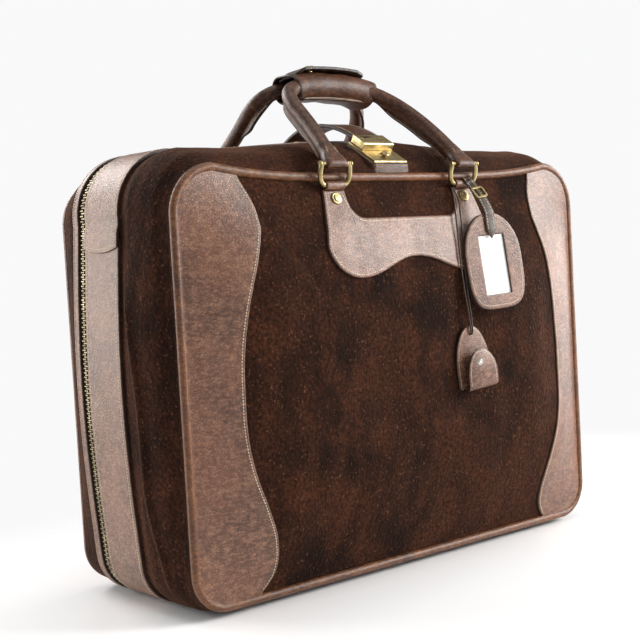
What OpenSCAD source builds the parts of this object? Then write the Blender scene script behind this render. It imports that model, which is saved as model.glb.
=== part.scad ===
// Soft-sided suitcase in suede and leather, standing upright with its lock and handles on top.
// Millimetres, front towards -Y, up is +Z. The deep front half carries the lock and the zip.

/* [Case] */
// Width over the piping
case_w = 583; // [520:1:660]
// Height of the panels over the piping
case_h = 430; // [390:1:480]
// Depth between the two piping lines
case_d = 200; // [185:1:230]
// Depth of the rear half, behind the zip
lid_d = 55; // [50:1:62]
// Outer radius of the two top corners
top_r = 51; // [40:1:65]
// Outer radius of the two bottom corners
bottom_r = 41; // [34:1:55]
// How far the top edge dips between its corners
top_sag = 11; // [0:0.5:16]
// Height of the studs that the case stands on
foot_h = 5; // [3:0.5:9]

/* [Soft form] */
// How far each large panel swells out
panel_dome = 29; // [10:1:36]
// Distance from the edge in which a panel reaches its swell
dome_run = 120; // [80:1:160]
// Swell of the top wall at its middle
crown_mid = 39; // [20:1:46]
// Swell of the top wall at its ends
crown_end = 18; // [8:1:26]
// Swell of the side walls below the top corners
bulge_top = 7; // [2:0.5:12]
// Swell of the side walls at half height
bulge_mid = 15; // [6:0.5:20]
// Swell of the side walls above the bottom corners
bulge_low = 5; // [0:0.5:10]
// Depth in which the front half's walls reach their swell
front_ramp = 75; // [60:1:90]
// Depth in which the rear half's walls reach their swell
rear_ramp = 50; // [42:1:52]

/* [Walls] */
// Thickness of the suede walls
suede_t = 2.4; // [1.6:0.1:3]
// Thickness of the leather pieces
leather_t = 2.2; // [1.6:0.1:3]
// Thickness of the stiff boards and hoops
board_t = 3; // [2:0.1:4]
// Thickness of the lining
lining_t = 1.6; // [1:0.1:2.4]
// Radius of the piping round the panels
pipe_r = 4.5; // [3.5:0.1:6]
// Depth of the padded panels at their edge
panel_t = 2.2; // [1.6:0.1:3]
// Clearance between neighbouring pieces
gap = 0.3; // [0.2:0.05:0.4]

/* [Leather panels] */
// Width of a side panel at the top edge
wing_top = 78; // [60:1:100]
// Width of a side panel at its upper bulge
wing_high = 92.5; // [70:0.5:115]
// Width of a side panel at its waist
wing_waist = 60.7; // [44:0.1:80]
// Width of a side panel at its lower flare
wing_low = 94.5; // [70:0.5:115]
// Width of a side panel at the bottom edge
wing_foot = 76; // [56:1:95]
// Depth of the upper bulge below the top edge
wing_high_drop = 58; // [40:1:90]
// Height of the waist
wing_waist_z = 205; // [170:1:240]
// Height of the lower flare
wing_low_z = 42; // [30:1:60]

/* [Handle patch] */
// Half width of the handle patch
patch_half = 121; // [116:0.5:128]
// Depth of the patch's widest point below the top edge
patch_side_drop = 84; // [78:1:90]
// Depth of the patch's top edge between its ears
patch_top_drop = 58; // [52:1:64]
// Depth of the two bottom lobes below the top edge
patch_lobe_drop = 120; // [112:1:130]
// Depth of the arch between the lobes
patch_arch_drop = 101; // [94:1:108]
// Distance of the lobes from the middle
patch_lobe_x = 80; // [74:1:84]
// Width of an ear
ear_w = 29; // [26:0.5:31]
// Radius where an ear meets the patch's top edge
ear_fillet = 18; // [10:1:22]

/* [Rings and handles] */
// Distance of the rings from the middle
ring_x = 94.5; // [90:0.5:98]
// Depth of the ring's lower bar below the top edge
bar_drop = 24; // [22:0.5:26]
// Distance of the ring's lower bar in front of the panel edge
bar_y = 8; // [7.5:0.1:10]
// Radius of the ring wire
wire_r = 2.6; // [2:0.1:3]
// Distance between the ring's legs
ring_w = 35; // [33:0.5:38]
// Distance from the lower bar to the pin
ring_h = 22; // [20:0.5:25]
// Lean of the ring towards the front
ring_lean = 11; // [6:0.5:16]
// Radius of the pin through ring and handle
pin_r = 2; // [1.6:0.1:2.2]
// Running clearance of bars and pins
run_fit = 0.08; // [0.05:0.01:0.1]
// Radius of the rolled grip
grip_r = 9; // [7.5:0.5:11]
// Height of the handle above its pins
handle_h = 140; // [130:1:150]
// Half length of the straight top of the handle
grip_flat = 50; // [44:1:56]
// Lean of a handle's legs from level
leg_angle = 92; // [84:0.5:96]
// Height where the rolled grip starts
grip_start = 24; // [21:0.5:28]
// Depth of the stitched flange under the grip
flange_h = 5; // [3:0.5:8]
// Thickness of the stitched flange
flange_t = 3.4; // [2.4:0.1:4.4]
// Space between the two grips at the top
grip_space = 4.8; // [2:0.1:8]
// Radius of the leather sleeve round a pin
sleeve_r = 5.6; // [4.8:0.1:6.2]
// Width of the flared end of a handle
end_w = 27; // [24:0.5:28]

/* [Handle wrap] */
// Left end of the wrap
wrap_left = -56; // [-60:1:-50]
// Right end of the wrap
wrap_right = 56; // [50:1:60]
// Reach of the flap over the wrap
flap_reach = 34; // [28:1:38]
// Lift of the flap's free edge
flap_lift = 4; // [2:0.5:12]

/* [Zip] */
// Width of the leather band in front of the zip
band_w = 63; // [50:1:70]
// Width of the narrow leather band behind the zip
rear_band_w = 11; // [8:0.5:14]
// Distance from the zip's middle to each band
zip_half = 7; // [6.5:0.1:8]
// Spacing of the teeth in one row
tooth_pitch = 4.6; // [4:0.1:6]
// Thickness of a tooth
tooth_t = 1.5; // [1.2:0.1:1.6]
// Height of a tooth
tooth_h = 3.6; // [2.6:0.1:4]
// Length of a slider
slider_l = 22; // [18:1:28]
// Length of a slider's pull
pull_l = 32; // [26:1:38]

/* [Lock] */
// Width of the lock plate
plate_w = 48; // [44:1:54]
// Length of the lock plate
plate_l = 46; // [44:1:48]
// Thickness of the lock plate
plate_t = 2; // [1.4:0.1:2.6]
// Slope of the lock plate
plate_slope = 31.8; // [28:0.2:35]
// Height of the lock pad's front edge above the top edge
pad_h = 11; // [10:0.5:14]
// Radius of the sliding knob
knob_r = 4.6; // [4:0.1:5.4]
// Travel of the sliding knob
knob_travel = 7; // [5:0.5:8]
// Width of the lock strap
strap_w = 40; // [34:1:44]
// Thickness of the lock strap
strap_t = 4; // [3:0.1:4.4]
// Height of the brass cap on the strap's end
hasp_h = 8.4; // [7.6:0.1:10]

/* [Tag and pouch] */
// Width of the luggage tag
tag_w = 80; // [70:1:82]
// Height of the luggage tag
tag_h = 106; // [96:1:114]
// Thickness of the luggage tag
tag_t = 5; // [4:0.1:6]
// Turn of the tag about the upright
tag_turn = 8; // [4:0.5:9]
// Lean of the tag's top towards the case
tag_lean = 6; // [3:0.5:8]
// Turn of the tag's foot to the right
tag_tilt = 3; // [0:0.5:5]
// Width of the tag's window
window_w = 33; // [26:1:40]
// Height of the tag's window
window_h = 66; // [56:1:72]
// Width of the tag's strap
lace_w = 12; // [9:0.5:13]
// Width of the key pouch at its foot
pouch_w = 49; // [44:1:52]
// Height of the key pouch
pouch_h = 67; // [60:1:74]
// Room between the pouch's leaf and its flap
pouch_room = 8; // [6:0.5:9]
// Thickness of the doubled lace
cord_d = 3.2; // [2.6:0.1:3.4]

/* [Hidden] */
$fn = 48;

suede = "#4a2e20";
leather = "#7d5f50";
dark_leather = "#33241b";
brass = "#d2ad57";
black = "#1d1a18";

half_w = case_w / 2;
zip_y = case_d - lid_d;
top_half = half_w - top_r;
bottom_half = half_w - bottom_r;
side_run = case_h - top_r - bottom_r;
edge = 2 * pipe_r + gap;
wall_y = sqrt(pow(pipe_r + gap, 2) - pow(pipe_r - suede_t, 2));

function parts(n) = [for (k = [0:n - 1]) k / n];
function ease(t) = (1 - cos(180 * t)) / 2;
function mix(a, b, t) = a + (b - a) * t;
function ramp(t) = sin(90 * pow(max(min(t, 1), 0), 0.8));

// Swell of the walls over the depth: none at either piping, full between.
function swell(y) =
  ramp((y - wall_y) / (front_ramp - wall_y)) * ramp((case_d - y - wall_y) / (rear_ramp - wall_y));
function top_z(x) = case_h - top_sag * (1 - pow(min(abs(x) / top_half, 1), 4));
function top_bulge(x) = mix(crown_end, crown_mid, cos(90 * min(abs(x) / top_half, 1)));
function side_bulge(t) =
  mix(bulge_low, bulge_top, t) + (bulge_mid - (bulge_low + bulge_top) / 2) * sin(180 * t);

// Stations round the outline: x, z, outward direction, swell. Up the right, over the top, down the left.
right_run = concat(
  [for (t = parts(5)) let (a = 90 * t - 90)
    [bottom_half + bottom_r * cos(a), bottom_r + bottom_r * sin(a), cos(a), sin(a), bulge_low * t]],
  [for (t = parts(6)) [half_w, bottom_r + side_run * t, 1, 0, side_bulge(t)]],
  [for (t = parts(6)) let (a = 90 * t)
    [top_half + top_r * cos(a), case_h - top_r + top_r * sin(a), cos(a), sin(a),
      mix(bulge_top, crown_end, t)]]
);
top_run = [for (t = parts(14)) let (x = top_half * (1 - 2 * t)) [x, top_z(x), 0, 1, top_bulge(x)]];
left_end = [-top_half, case_h, 0, 1, crown_end];
left_run = [for (k = [len(right_run) - 1:-1:0]) let (q = right_run[k]) [-q[0], q[1], -q[2], q[3], q[4]]];
bottom_run = [for (k = [1:5]) [bottom_half * (k / 3 - 1), 0, 0, -1, 0]];
stations = concat(right_run, top_run, [left_end], left_run, bottom_run);
count = len(stations);
all_round = [for (i = [0:count - 1]) i];
top_mid = len(right_run) + 7;
last_left = 2 * top_mid;

function station(i) =
  let (a = floor(i), p = stations[a % count], q = stations[(a + 1) % count]) p + (q - p) * (i - a);
function skin(i, y, s) =
  let (q = station(i), out = swell(y) * q[4] + s) [q[0] + q[2] * out, y, q[1] + q[3] * out];
// Stations from a to b, with the whole ones between.
function run(a, b) = concat([a], [for (i = [floor(a) + 1:1:ceil(b) - 1]) i], [b]);
// Station on the flat top at a given x.
function top_station(x) = top_mid - 7 * x / top_half;

// A wall that follows the outline: rows at the depths ys, between two offsets from the skin.
module wall(is, ys, s_in, s_out, closed = true) {
  n = len(is);
  m = len(ys);
  o = n * m;
  spans = closed ? n : n - 1;
  outer = [for (y = ys) for (i = is) skin(i, y, s_out)];
  inner = [for (y = ys) for (i = is) skin(i, y, s_in)];
  sides = [for (k = [0:m - 2]) for (i = [0:spans - 1]) let (a = k * n + i, b = k * n + (i + 1) % n)
    each [[a, b, b + n], [a, b + n, a + n], [o + a, o + b + n, o + b], [o + a, o + a + n, o + b + n]]];
  rims = [for (i = [0:spans - 1]) let (a = i, b = (i + 1) % n, c = a + o - n, d = b + o - n)
    each [[a, o + a, o + b], [a, o + b, b], [d, o + d, o + c], [d, o + c, c]]];
  ends = closed ? [] : [for (k = [0:m - 2]) let (a = k * n, c = a + n, e = a + n - 1, f = e + n)
    each [[a, c, o + c], [a, o + c, o + a], [e, o + e, o + f], [e, o + f, f]]];
  polyhedron(concat(outer, inner), concat(sides, rims, ends), convexity = 8);
}

// A lined tray: a wall with a closed end, at the front or at the rear.
module tray(ys, s_in, s_out, t, front) {
  n = count;
  m = len(ys);
  o = n * m;
  deep = [for (k = [0:m - 1]) ys[k] + (front && k == 0 ? t : 0) - (!front && k == m - 1 ? t : 0)];
  outer = [for (y = ys) for (i = all_round) skin(i, y, s_out)];
  inner = [for (k = [0:m - 1]) for (i = all_round) let (p = skin(i, ys[k], s_in)) [p[0], deep[k], p[2]]];
  sides = [for (k = [0:m - 2]) for (i = all_round) let (a = k * n + i, b = k * n + (i + 1) % n)
    each [[a, b, b + n], [a, b + n, a + n], [o + a, o + b + n, o + b], [o + a, o + a + n, o + b + n]]];
  rim = [for (i = all_round) let (a = i, b = (i + 1) % n, c = a + o - n, d = b + o - n)
    each front ? [[d, o + d, o + c], [d, o + c, c]] : [[a, o + a, o + b], [a, o + b, b]]];
  end = front ? 0 : o - n;
  mid = [[0, ys[front ? 0 : m - 1], case_h / 2], [0, deep[front ? 0 : m - 1], case_h / 2]];
  caps = [for (i = all_round) let (a = end + i, b = end + (i + 1) % n)
    each front ? [[b, a, 2 * o], [o + a, o + b, 2 * o + 1]] : [[a, b, 2 * o], [o + b, o + a, 2 * o + 1]]];
  polyhedron(concat(outer, inner, mid), concat(sides, rim, caps), convexity = 8);
}

// Swell of a large panel, from the distances to its edges.
function rise(d) = sin(90 * max(min(d / dome_run, 1), 0));
function dome(x, z) =
  panel_dome * rise(half_w - edge - abs(x)) * rise(min(z - edge, top_z(x) - edge - z));

// The flat outline of the panels, set in from the piping's outer edge.
function outline(s) = [for (q = stations) [q[0] + q[2] * s, q[1] + q[3] * s]];

module pillow() {
  ring_at = [1, 0.965, 0.91, 0.82, 0.7, 0.53, 0.34, 0.17];
  n = count;
  m = len(ring_at);
  base = outline(-edge);
  mid = [0, case_h / 2];
  rings = [for (k = ring_at) for (q = base) let (p = mid + (q - mid) * k)
    [p[0], k == 1 ? 0 : -dome(p[0], p[1]), p[1]]];
  back = [for (q = base) [q[0], panel_t, q[1]]];
  centre = [[mid[0], -dome(mid[0], mid[1]), mid[1]], [mid[0], panel_t, mid[1]]];
  face = [for (j = [0:m - 2]) for (i = all_round) let (a = j * n + i, b = j * n + (i + 1) % n)
    each [[a, a + n, b + n], [a, b + n, b]]];
  fan = [for (i = all_round) [(m - 1) * n + i, (m + 1) * n, (m - 1) * n + (i + 1) % n]];
  edges = [for (i = all_round) let (b = (i + 1) % n) each [[i, b, m * n + b], [i, m * n + b, m * n + i]]];
  flat = [for (i = all_round) [m * n + i, m * n + (i + 1) % n, (m + 1) * n + 1]];
  polyhedron(concat(rings, back, centre), concat(face, fan, edges, flat), convexity = 4);
}

// A leather sheet lying on a swollen panel; rows run upwards, each from left to right.
module sheet(rows, lo, hi) {
  m = len(rows);
  n = len(rows[0]);
  o = m * n;
  face = [for (r = rows) for (p = r) [p[0], -dome(p[0], p[1]) - hi, p[1]]];
  back = [for (r = rows) for (p = r) [p[0], -dome(p[0], p[1]) - lo, p[1]]];
  skins = [for (r = [0:m - 2]) for (c = [0:n - 2]) let (a = r * n + c)
    each [[a, a + n, a + n + 1], [a, a + n + 1, a + 1],
      [o + a, o + a + n + 1, o + a + n], [o + a, o + a + 1, o + a + n + 1]]];
  ends = [for (c = [0:n - 2]) let (a = c, b = o - n + c)
    each [[a, a + 1, o + a + 1], [a, o + a + 1, o + a], [b, o + b + 1, b + 1], [b, o + b, o + b + 1]]];
  sides = [for (r = [0:m - 2]) let (a = r * n, b = a + n - 1)
    each [[a, o + a, o + a + n], [a, o + a + n, a + n], [b, o + b + n, o + b], [b, b + n, o + b + n]]];
  polyhedron(concat(face, back), concat(skins, ends, sides), convexity = 4);
}

sheet_lo = 0.8;
wing_high_z = case_h - wing_high_drop;
patch_side_z = case_h - patch_side_drop;
patch_top_z = case_h - patch_top_drop;
patch_lobe_z = case_h - patch_lobe_drop;
patch_arch_z = case_h - patch_arch_drop;
bar_z = case_h - bar_drop;
sheet_hi = sheet_lo + leather_t;

// Wavy inner edge of a side panel: width at a height.
function wing_w(z) =
  z > wing_high_z ? mix(wing_high, wing_top, ease(pow((z - wing_high_z) / (case_h - wing_high_z), 1.5))) :
  z > wing_waist_z ? mix(wing_high, wing_waist,
    ease(pow((wing_high_z - z) / (wing_high_z - wing_waist_z), 0.62))) :
  z > wing_low_z ? mix(wing_waist, wing_low,
    ease(pow((wing_waist_z - z) / (wing_waist_z - wing_low_z), 1.5))) :
  mix(wing_low, wing_foot, ease(pow((wing_low_z - z) / wing_low_z, 1.5)));

// Outer edge of a side panel, inside the piping and its round corners.
function wing_edge(z) =
  let (low = bottom_r - z, high = z - (case_h - top_r),
    r = high > 0 ? top_r - edge : bottom_r - edge, d = min(max(low, high, 0), r - 0.5))
  half_w - edge - (d > 0 ? r - sqrt(r * r - d * d) : 0) - 0.7;

module wing() {
  low = edge + 0.7;
  rows = [for (k = [0:20]) let (z0 = mix(low, case_h - edge - 0.7, ease(k / 20) * 0.5 + k / 40))
    [for (c = [0:4]) let (x = -mix(wing_edge(z0), half_w - wing_w(z0), c / 4))
      [x, min(z0, top_z(x) - edge - 0.7 - (20 - k))]]];
  sheet(rows, sheet_lo, sheet_hi);
}

module wings() {
  wing();
  mirror([1, 0, 0]) wing();
}

ear_in = ring_x - ear_w / 2;
ear_out = ring_x + ear_w / 2;
loop_r = wire_r + run_fit + leather_t - 0.1;
ear_top = bar_z - loop_r + 0.4;
bend = 5;
loop_l = min(ear_w - 1, ring_w - 2 * bend - 0.2);

function patch_low(x) =
  x < patch_lobe_x ? mix(patch_arch_z, patch_lobe_z, ease(x / patch_lobe_x)) :
  patch_side_z - (patch_side_z - patch_lobe_z)
    * sqrt(1 - pow((x - patch_lobe_x) / (patch_half - patch_lobe_x), 2));
function patch_high(x) =
  x < ear_in - 1 - ear_fillet ? patch_top_z :
  x < ear_in - 0.5 ? patch_top_z + ear_fillet
    - sqrt(max(ear_fillet * ear_fillet - pow(x - ear_in + 1 + ear_fillet, 2), 0)) :
  x < ear_out + 0.1 ? ear_top : mix(ear_top, patch_side_z, (x - ear_out) / (patch_half - ear_out));

module patch() {
  half_x = concat(
    [0, 12, 24, 36, 48],
    [for (t = [0:0.25:1]) ear_in - 1 - ear_fillet * (1 - t)],
    [for (t = [0:0.25:1]) mix(ear_in, ear_out, t)],
    [for (t = [0.35, 0.7, 0.97]) mix(ear_out, patch_half, t)]
  );
  n = len(half_x);
  xs = concat([for (k = [n - 1:-1:1]) -half_x[k]], half_x);
  rows = [for (r = [0:5]) [for (x = xs) [x, mix(patch_low(abs(x)), patch_high(abs(x)), r / 5)]]];
  sheet(rows, sheet_lo, sheet_hi);
  for (side = [-1, 1]) {
    translate([side * ring_x - loop_l / 2, -bar_y, bar_z]) {
      rotate([0, 90, 0]) {
        difference() {
          cylinder(r = loop_r, h = loop_l);
          translate([0, 0, -1]) cylinder(r = wire_r + run_fit, h = loop_l + 2);
        }
      }
    }
  }
}

rivet_z = mix(patch_top_z, ear_top, 0.68);
rivet_y = dome(ring_x, rivet_z) + sheet_hi;
rivet_tilt = atan((dome(ring_x, rivet_z - 6) - dome(ring_x, rivet_z + 6)) / 12);

module rivets() {
  for (side = [-1, 1]) {
    translate([side * ring_x, -rivet_y, rivet_z]) {
      rotate([90 - rivet_tilt, 0, 0]) {
        translate([0, 0, gap]) rotate_extrude() {
          polygon([[0, 0], [6.4, 0], [6.4, 1], [5.6, 1.8], [4.4, 1.8], [4.4, 2.4], [3.6, 3.2], [0, 3.5]]);
        }
      }
    }
  }
}

module piping() {
  n = count;
  pts = [for (q = stations) for (k = [0:7]) let (c = pipe_r * cos(45 * k) - pipe_r)
    [q[0] + q[2] * c, pipe_r * sin(45 * k), q[1] + q[3] * c]];
  faces = [for (i = all_round) for (k = [0:7])
    let (j = (i + 1) % n, e = (k + 1) % 8, a = i * 8 + k, b = i * 8 + e, c = j * 8 + e, d = j * 8 + k)
    each [[a, d, c], [a, c, b]]];
  polyhedron(pts, faces, convexity = 4);
}

module board() {
  translate([0, panel_t + board_t, 0]) {
    rotate([90, 0, 0]) linear_extrude(board_t) polygon(outline(-edge - 2));
  }
}

foot_in = 20;
foot_from_end = 34;

module feet_pair(y) {
  for (side = [-1, 1]) {
    translate([side * (bottom_half - foot_from_end), y, -foot_h]) {
      rotate_extrude() polygon([[0, 0], [5, 0], [7, 1.6], [8, foot_h], [0, foot_h]]);
    }
  }
}

// Everything on the rear panel is the front's, turned half round.
module rear() {
  translate([0, case_d, 0]) rotate([0, 0, 180]) children();
}

band_front = zip_y - zip_half - band_w;
band_rear = zip_y + zip_half + rear_band_w;
tape_lap = 14;
tape_reach = 2.4;
tape_y = zip_y - zip_half - tape_lap;
lap_at = 10.57;
zip_end = 0.8;
hoop_y = 62;
lid_hoop = 24;
front_rows = [wall_y, 8, 14, 24, 40, hoop_y, tape_y];
rear_rows = [zip_y + zip_half + 6, case_d - 30, case_d - 19, case_d - 11, case_d - 7, case_d - wall_y];
frame_s = -suede_t - gap;
lining_s = frame_s - board_t - gap;

// The row of teeth follows the skin at the zip; positions come from the length along it.
chain = [for (i = run(zip_end, last_left - zip_end)) skin(i, zip_y, -tooth_h / 4)];
reach = [for (k = 0, s = 0; k < len(chain); s = s + (k + 1 < len(chain) ? norm(chain[k + 1] - chain[k]) : 0),
  k = k + 1) s];
chain_x = [for (k = [0:len(chain) - 1]) [reach[k], chain[k][0]]];
chain_z = [for (k = [0:len(chain) - 1]) [reach[k], chain[k][2]]];
chain_l = reach[len(reach) - 1];
function chain_at(s) = [lookup(s, chain_x), zip_y, lookup(s, chain_z)];
slider_from = 3;
free_half = 9;

module teeth(phase, flip) {
  steps = floor((chain_l - 8) / tooth_pitch);
  for (k = [0:steps]) {
    s = 4 + (k + phase) * tooth_pitch;
    p = chain_at(s);
    d = chain_at(s + 0.5) - chain_at(s - 0.5);
    if (s < chain_l - 2 && (abs(p[0]) > free_half || p[2] < case_h / 2)) {
      translate(p) {
        rotate([0, -atan2(d[2], d[0]), 0]) {
          mirror([0, flip, 0]) {
            translate([0, 0, -tooth_h / 2]) {
              linear_extrude(tooth_h) {
                polygon([[-tooth_t * 0.37, -tape_reach], [tooth_t * 0.37, -tape_reach], [tooth_t / 2, 0.1],
                  [tooth_t / 2, 1.4], [-tooth_t / 2, 1.4], [-tooth_t / 2, 0.1]]);
              }
            }
          }
        }
      }
    }
  }
}

// Lock: a pad on the sloping top wall carries the plate.
plate_y = 6;
pad_front = wall_y + 0.4;
pad_rear = plate_y + plate_l * cos(plate_slope) + 2;
pad_half = plate_w / 2 + 3.5;
function pad_z(y) = top_z(0) + pad_h + (y - plate_y) * tan(plate_slope);

module pad() {
  is = [top_station(pad_half), top_mid, top_station(-pad_half)];
  ys = [pad_front, 8, 14, 24, 40, pad_rear];
  n = 3;
  m = len(ys);
  o = n * m;
  outer = [for (y = ys) for (i = is) [skin(i, y, 0)[0], y, pad_z(y)]];
  inner = [for (y = ys) for (i = is) skin(i, y, gap + 0.1)];
  sides = [for (k = [0:m - 2]) for (i = [0:1]) let (a = k * n + i, b = a + 1)
    each [[a, b, b + n], [a, b + n, a + n], [o + a, o + b + n, o + b], [o + a, o + a + n, o + b + n]]];
  rims = [for (i = [0:1]) let (a = i, b = i + 1, c = a + o - n, d = b + o - n)
    each [[a, o + a, o + b], [a, o + b, b], [d, o + d, o + c], [d, o + c, c]]];
  ends = [for (k = [0:m - 2]) let (a = k * n, c = a + n, e = a + n - 1, f = e + n)
    each [[a, c, o + c], [a, o + c, o + a], [e, o + e, o + f], [e, o + f, f]]];
  polyhedron(concat(outer, inner), concat(sides, rims, ends), convexity = 4);
}

// Frame of the lock plate: y runs up the slope, z stands on the pad.
module on_plate() {
  translate([0, plate_y, pad_z(plate_y) + seat]) rotate([plate_slope, 0, 0]) children();
}

seat = 0.15;
slot_y = 12;
slot_w = 3;
screw_in = 4.5;
hasp_y = 25;
hasp_wall = 1.4;
hasp_lift = plate_t + gap;

module plate() {
  difference() {
    translate([-plate_w / 2, 0, 0]) {
      rotate([90, 0, 90]) {
        linear_extrude(plate_w) {
          polygon([[0, 0], [plate_l, 0], [plate_l, plate_t], [1, plate_t], [0, plate_t - 1]]);
        }
      }
    }
    for (y = [slot_y, slot_y + knob_travel]) translate([0, y, -1]) cylinder(d = slot_w, h = plate_t + 2);
    translate([-slot_w / 2, slot_y, -1]) cube([slot_w, knob_travel, plate_t + 2]);
    for (x = [-1, 1]) {
      for (y = [screw_in, plate_l - screw_in]) {
        translate([x * (plate_w / 2 - screw_in), y, -1]) cylinder(r = 1.2, h = plate_t + 2);
      }
    }
  }
}

module screws() {
  for (x = [-1, 1]) {
    for (y = [screw_in, plate_l - screw_in]) {
      translate([x * (plate_w / 2 - screw_in), y, 0]) {
        difference() {
          rotate_extrude() {
            polygon([[0, 0.1], [1.15, 0.1], [1.15, plate_t], [2, plate_t], [0, plate_t + 0.25]]);
          }
          translate([-2, -0.25, plate_t + 0.1]) cube([4, 0.5, 1]);
        }
      }
    }
  }
}

module knob() {
  translate([0, slot_y, 0]) {
    rotate_extrude() {
      polygon([[0, 0.2], [slot_w / 2 - 0.1, 0.2], [slot_w / 2 - 0.1, plate_t + 0.1], [2.2, plate_t + 0.1],
        [2.2, plate_t + 1.4], [knob_r - 0.8, plate_t + 1.6],
        [knob_r, plate_t + 2.6], [knob_r, plate_t + 3.4],
        [knob_r - 1, plate_t + 4.4], [0, plate_t + 4.9]]);
    }
  }
}

module hasp() {
  w = strap_w + 2 * hasp_wall + 0.6;
  difference() {
    translate([-w / 2, 0, 0]) {
      rotate([90, 0, 90]) {
        linear_extrude(w) {
          polygon([[hasp_y, hasp_lift], [plate_l, hasp_lift], [plate_l, hasp_lift + hasp_h],
            [hasp_y + 1.4, hasp_lift + hasp_h], [hasp_y, hasp_lift + hasp_h - 1.4]]);
        }
      }
    }
    translate([-strap_w / 2 - 0.3, hasp_y + hasp_wall, hasp_lift + hasp_wall]) {
      cube([strap_w + 0.6, plate_l, hasp_h - 2 * hasp_wall]);
    }
    for (x = [-12, 12]) translate([x, hasp_y + 12, hasp_lift + hasp_h / 2]) cylinder(r = 1.4, h = hasp_h);
  }
}

// The strap leaves the cap along the plate's slope, arches over the zip and comes down on the rear half.
strap_mid = hasp_lift + hasp_h / 2;
strap_in = plate_l - hasp_y - hasp_wall - 1;
strap_dir = [cos(plate_slope), sin(plate_slope)];
strap_from = [plate_y + plate_l * cos(plate_slope) - strap_mid * sin(plate_slope),
  pad_z(plate_y) + seat + plate_l * sin(plate_slope) + strap_mid * cos(plate_slope)];
anchor_y = case_d - 13;
anchor_t = 2.4;
function anchor_top(y) = top_z(0) + crown_mid * swell(y) + gap + anchor_t;
land = atan((anchor_top(anchor_y - 4) - anchor_top(anchor_y + 4)) / 8);
strap_to = [anchor_y, anchor_top(anchor_y)] + (strap_t / 2 + 0.6) * [sin(land), cos(land)];
strap_c1 = strap_from + 48 * strap_dir;
strap_c2 = strap_to + 80 * [-cos(land), sin(land)];
function curve(t) = pow(1 - t, 3) * strap_from + 3 * t * pow(1 - t, 2) * strap_c1
  + 3 * t * t * (1 - t) * strap_c2 + pow(t, 3) * strap_to;
function slope_of(t) = 3 * pow(1 - t, 2) * (strap_c1 - strap_from)
  + 6 * t * (1 - t) * (strap_c2 - strap_c1) + 3 * t * t * (strap_to - strap_c2);
function beside(t, d) = let (v = slope_of(t), u = v / norm(v)) curve(t) + d * [-u[1], u[0]];

module strap() {
  steps = 28;
  over = concat([beside(0, strap_t / 2) - strap_in * strap_dir],
    [for (k = [0:steps]) beside(k / steps, strap_t / 2)]);
  under = concat([for (k = [steps:-1:0]) beside(k / steps, -strap_t / 2)],
    [beside(0, -strap_t / 2) - strap_in * strap_dir]);
  translate([-strap_w / 2, 0, 0]) {
    rotate([90, 0, 90]) linear_extrude(strap_w) polygon(concat(over, under));
  }
}

module anchor() {
  is = run(top_station(strap_w / 2 + 4), top_station(-strap_w / 2 - 4));
  wall(is, [case_d - 24, case_d - 17, case_d - 11, case_d - wall_y - 1.5], gap, gap + anchor_t, false);
}

// Rings: a shackle whose lower bar turns in the ear, with a pin across its top.
ring_half = ring_w / 2;
eye_r = 3.9;
eye_t = 4.4;

module at_rings() {
  for (side = [-1, 1]) {
    translate([side * ring_x, -bar_y, bar_z]) rotate([ring_lean, 0, 0]) children();
  }
}

module shackle() {
  rotate([0, 90, 0]) translate([0, 0, bend - ring_half]) cylinder(r = wire_r, h = ring_w - 2 * bend);
  for (side = [0, 1]) {
    mirror([side, 0, 0]) {
      translate([ring_half - bend, 0, bend]) {
        rotate([90, 0, 0]) rotate([0, 0, -90]) {
          rotate_extrude(angle = 90) translate([bend, 0]) circle(r = wire_r);
        }
      }
      translate([ring_half, 0, bend]) cylinder(r = wire_r, h = ring_h - bend - 3);
    }
  }
  for (side = [-1, 1]) {
    translate([side * ring_half - eye_t / 2, 0, ring_h]) rotate([0, 90, 0]) cylinder(r = eye_r, h = eye_t);
  }
}

module ring() {
  difference() {
    shackle();
    translate([-ring_w, 0, ring_h]) rotate([0, 90, 0]) cylinder(r = pin_r + 0.03, h = 2 * ring_w);
  }
}

pin_l = ring_w + eye_t + 2.4;

module pin() {
  translate([-pin_l / 2, 0, ring_h]) {
    rotate([0, 90, 0]) {
      cylinder(r = pin_r, h = pin_l);
      cylinder(r = pin_r + 1, h = 1);
      translate([0, 0, pin_l - 1]) cylinder(r = pin_r + 1, h = 1);
    }
  }
}

// Handle plane: x along the case, z up the lean, origin on the pins.
pin_y = -bar_y - ring_h * sin(ring_lean);
pin_z = bar_z + ring_h * cos(ring_lean);
grip_y = case_d / 2 - grip_r - grip_space / 2;
handle_lean = asin((grip_y - pin_y) / handle_h);
grip_z = pin_z + handle_h * cos(handle_lean);
turn_r = round(100 * (ring_x - grip_flat + handle_h / tan(leg_angle))
  / (sin(leg_angle) + (1 + cos(leg_angle)) / tan(leg_angle))) / 100;
turn = 180 - leg_angle;
leg_x = ring_x + grip_start / tan(leg_angle);
leg_l = (handle_h - turn_r * (1 + cos(leg_angle)) - grip_start) / sin(leg_angle) - 0.01;
flange_from = 32;
// The steeper wall at the rear leaves no room for the flange on the lower part of a leg.
rear_bare = 50;
lap = 0.4;
seam = 0.15;

module in_handle() {
  translate([0, pin_y, pin_z]) rotate([-handle_lean, 0, 0]) children();
}

module flange(more = 0) {
  translate([-flange_t / 2 - more, grip_r - 3]) square([flange_t + 2 * more, flange_h + 3 + more]);
}

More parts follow.
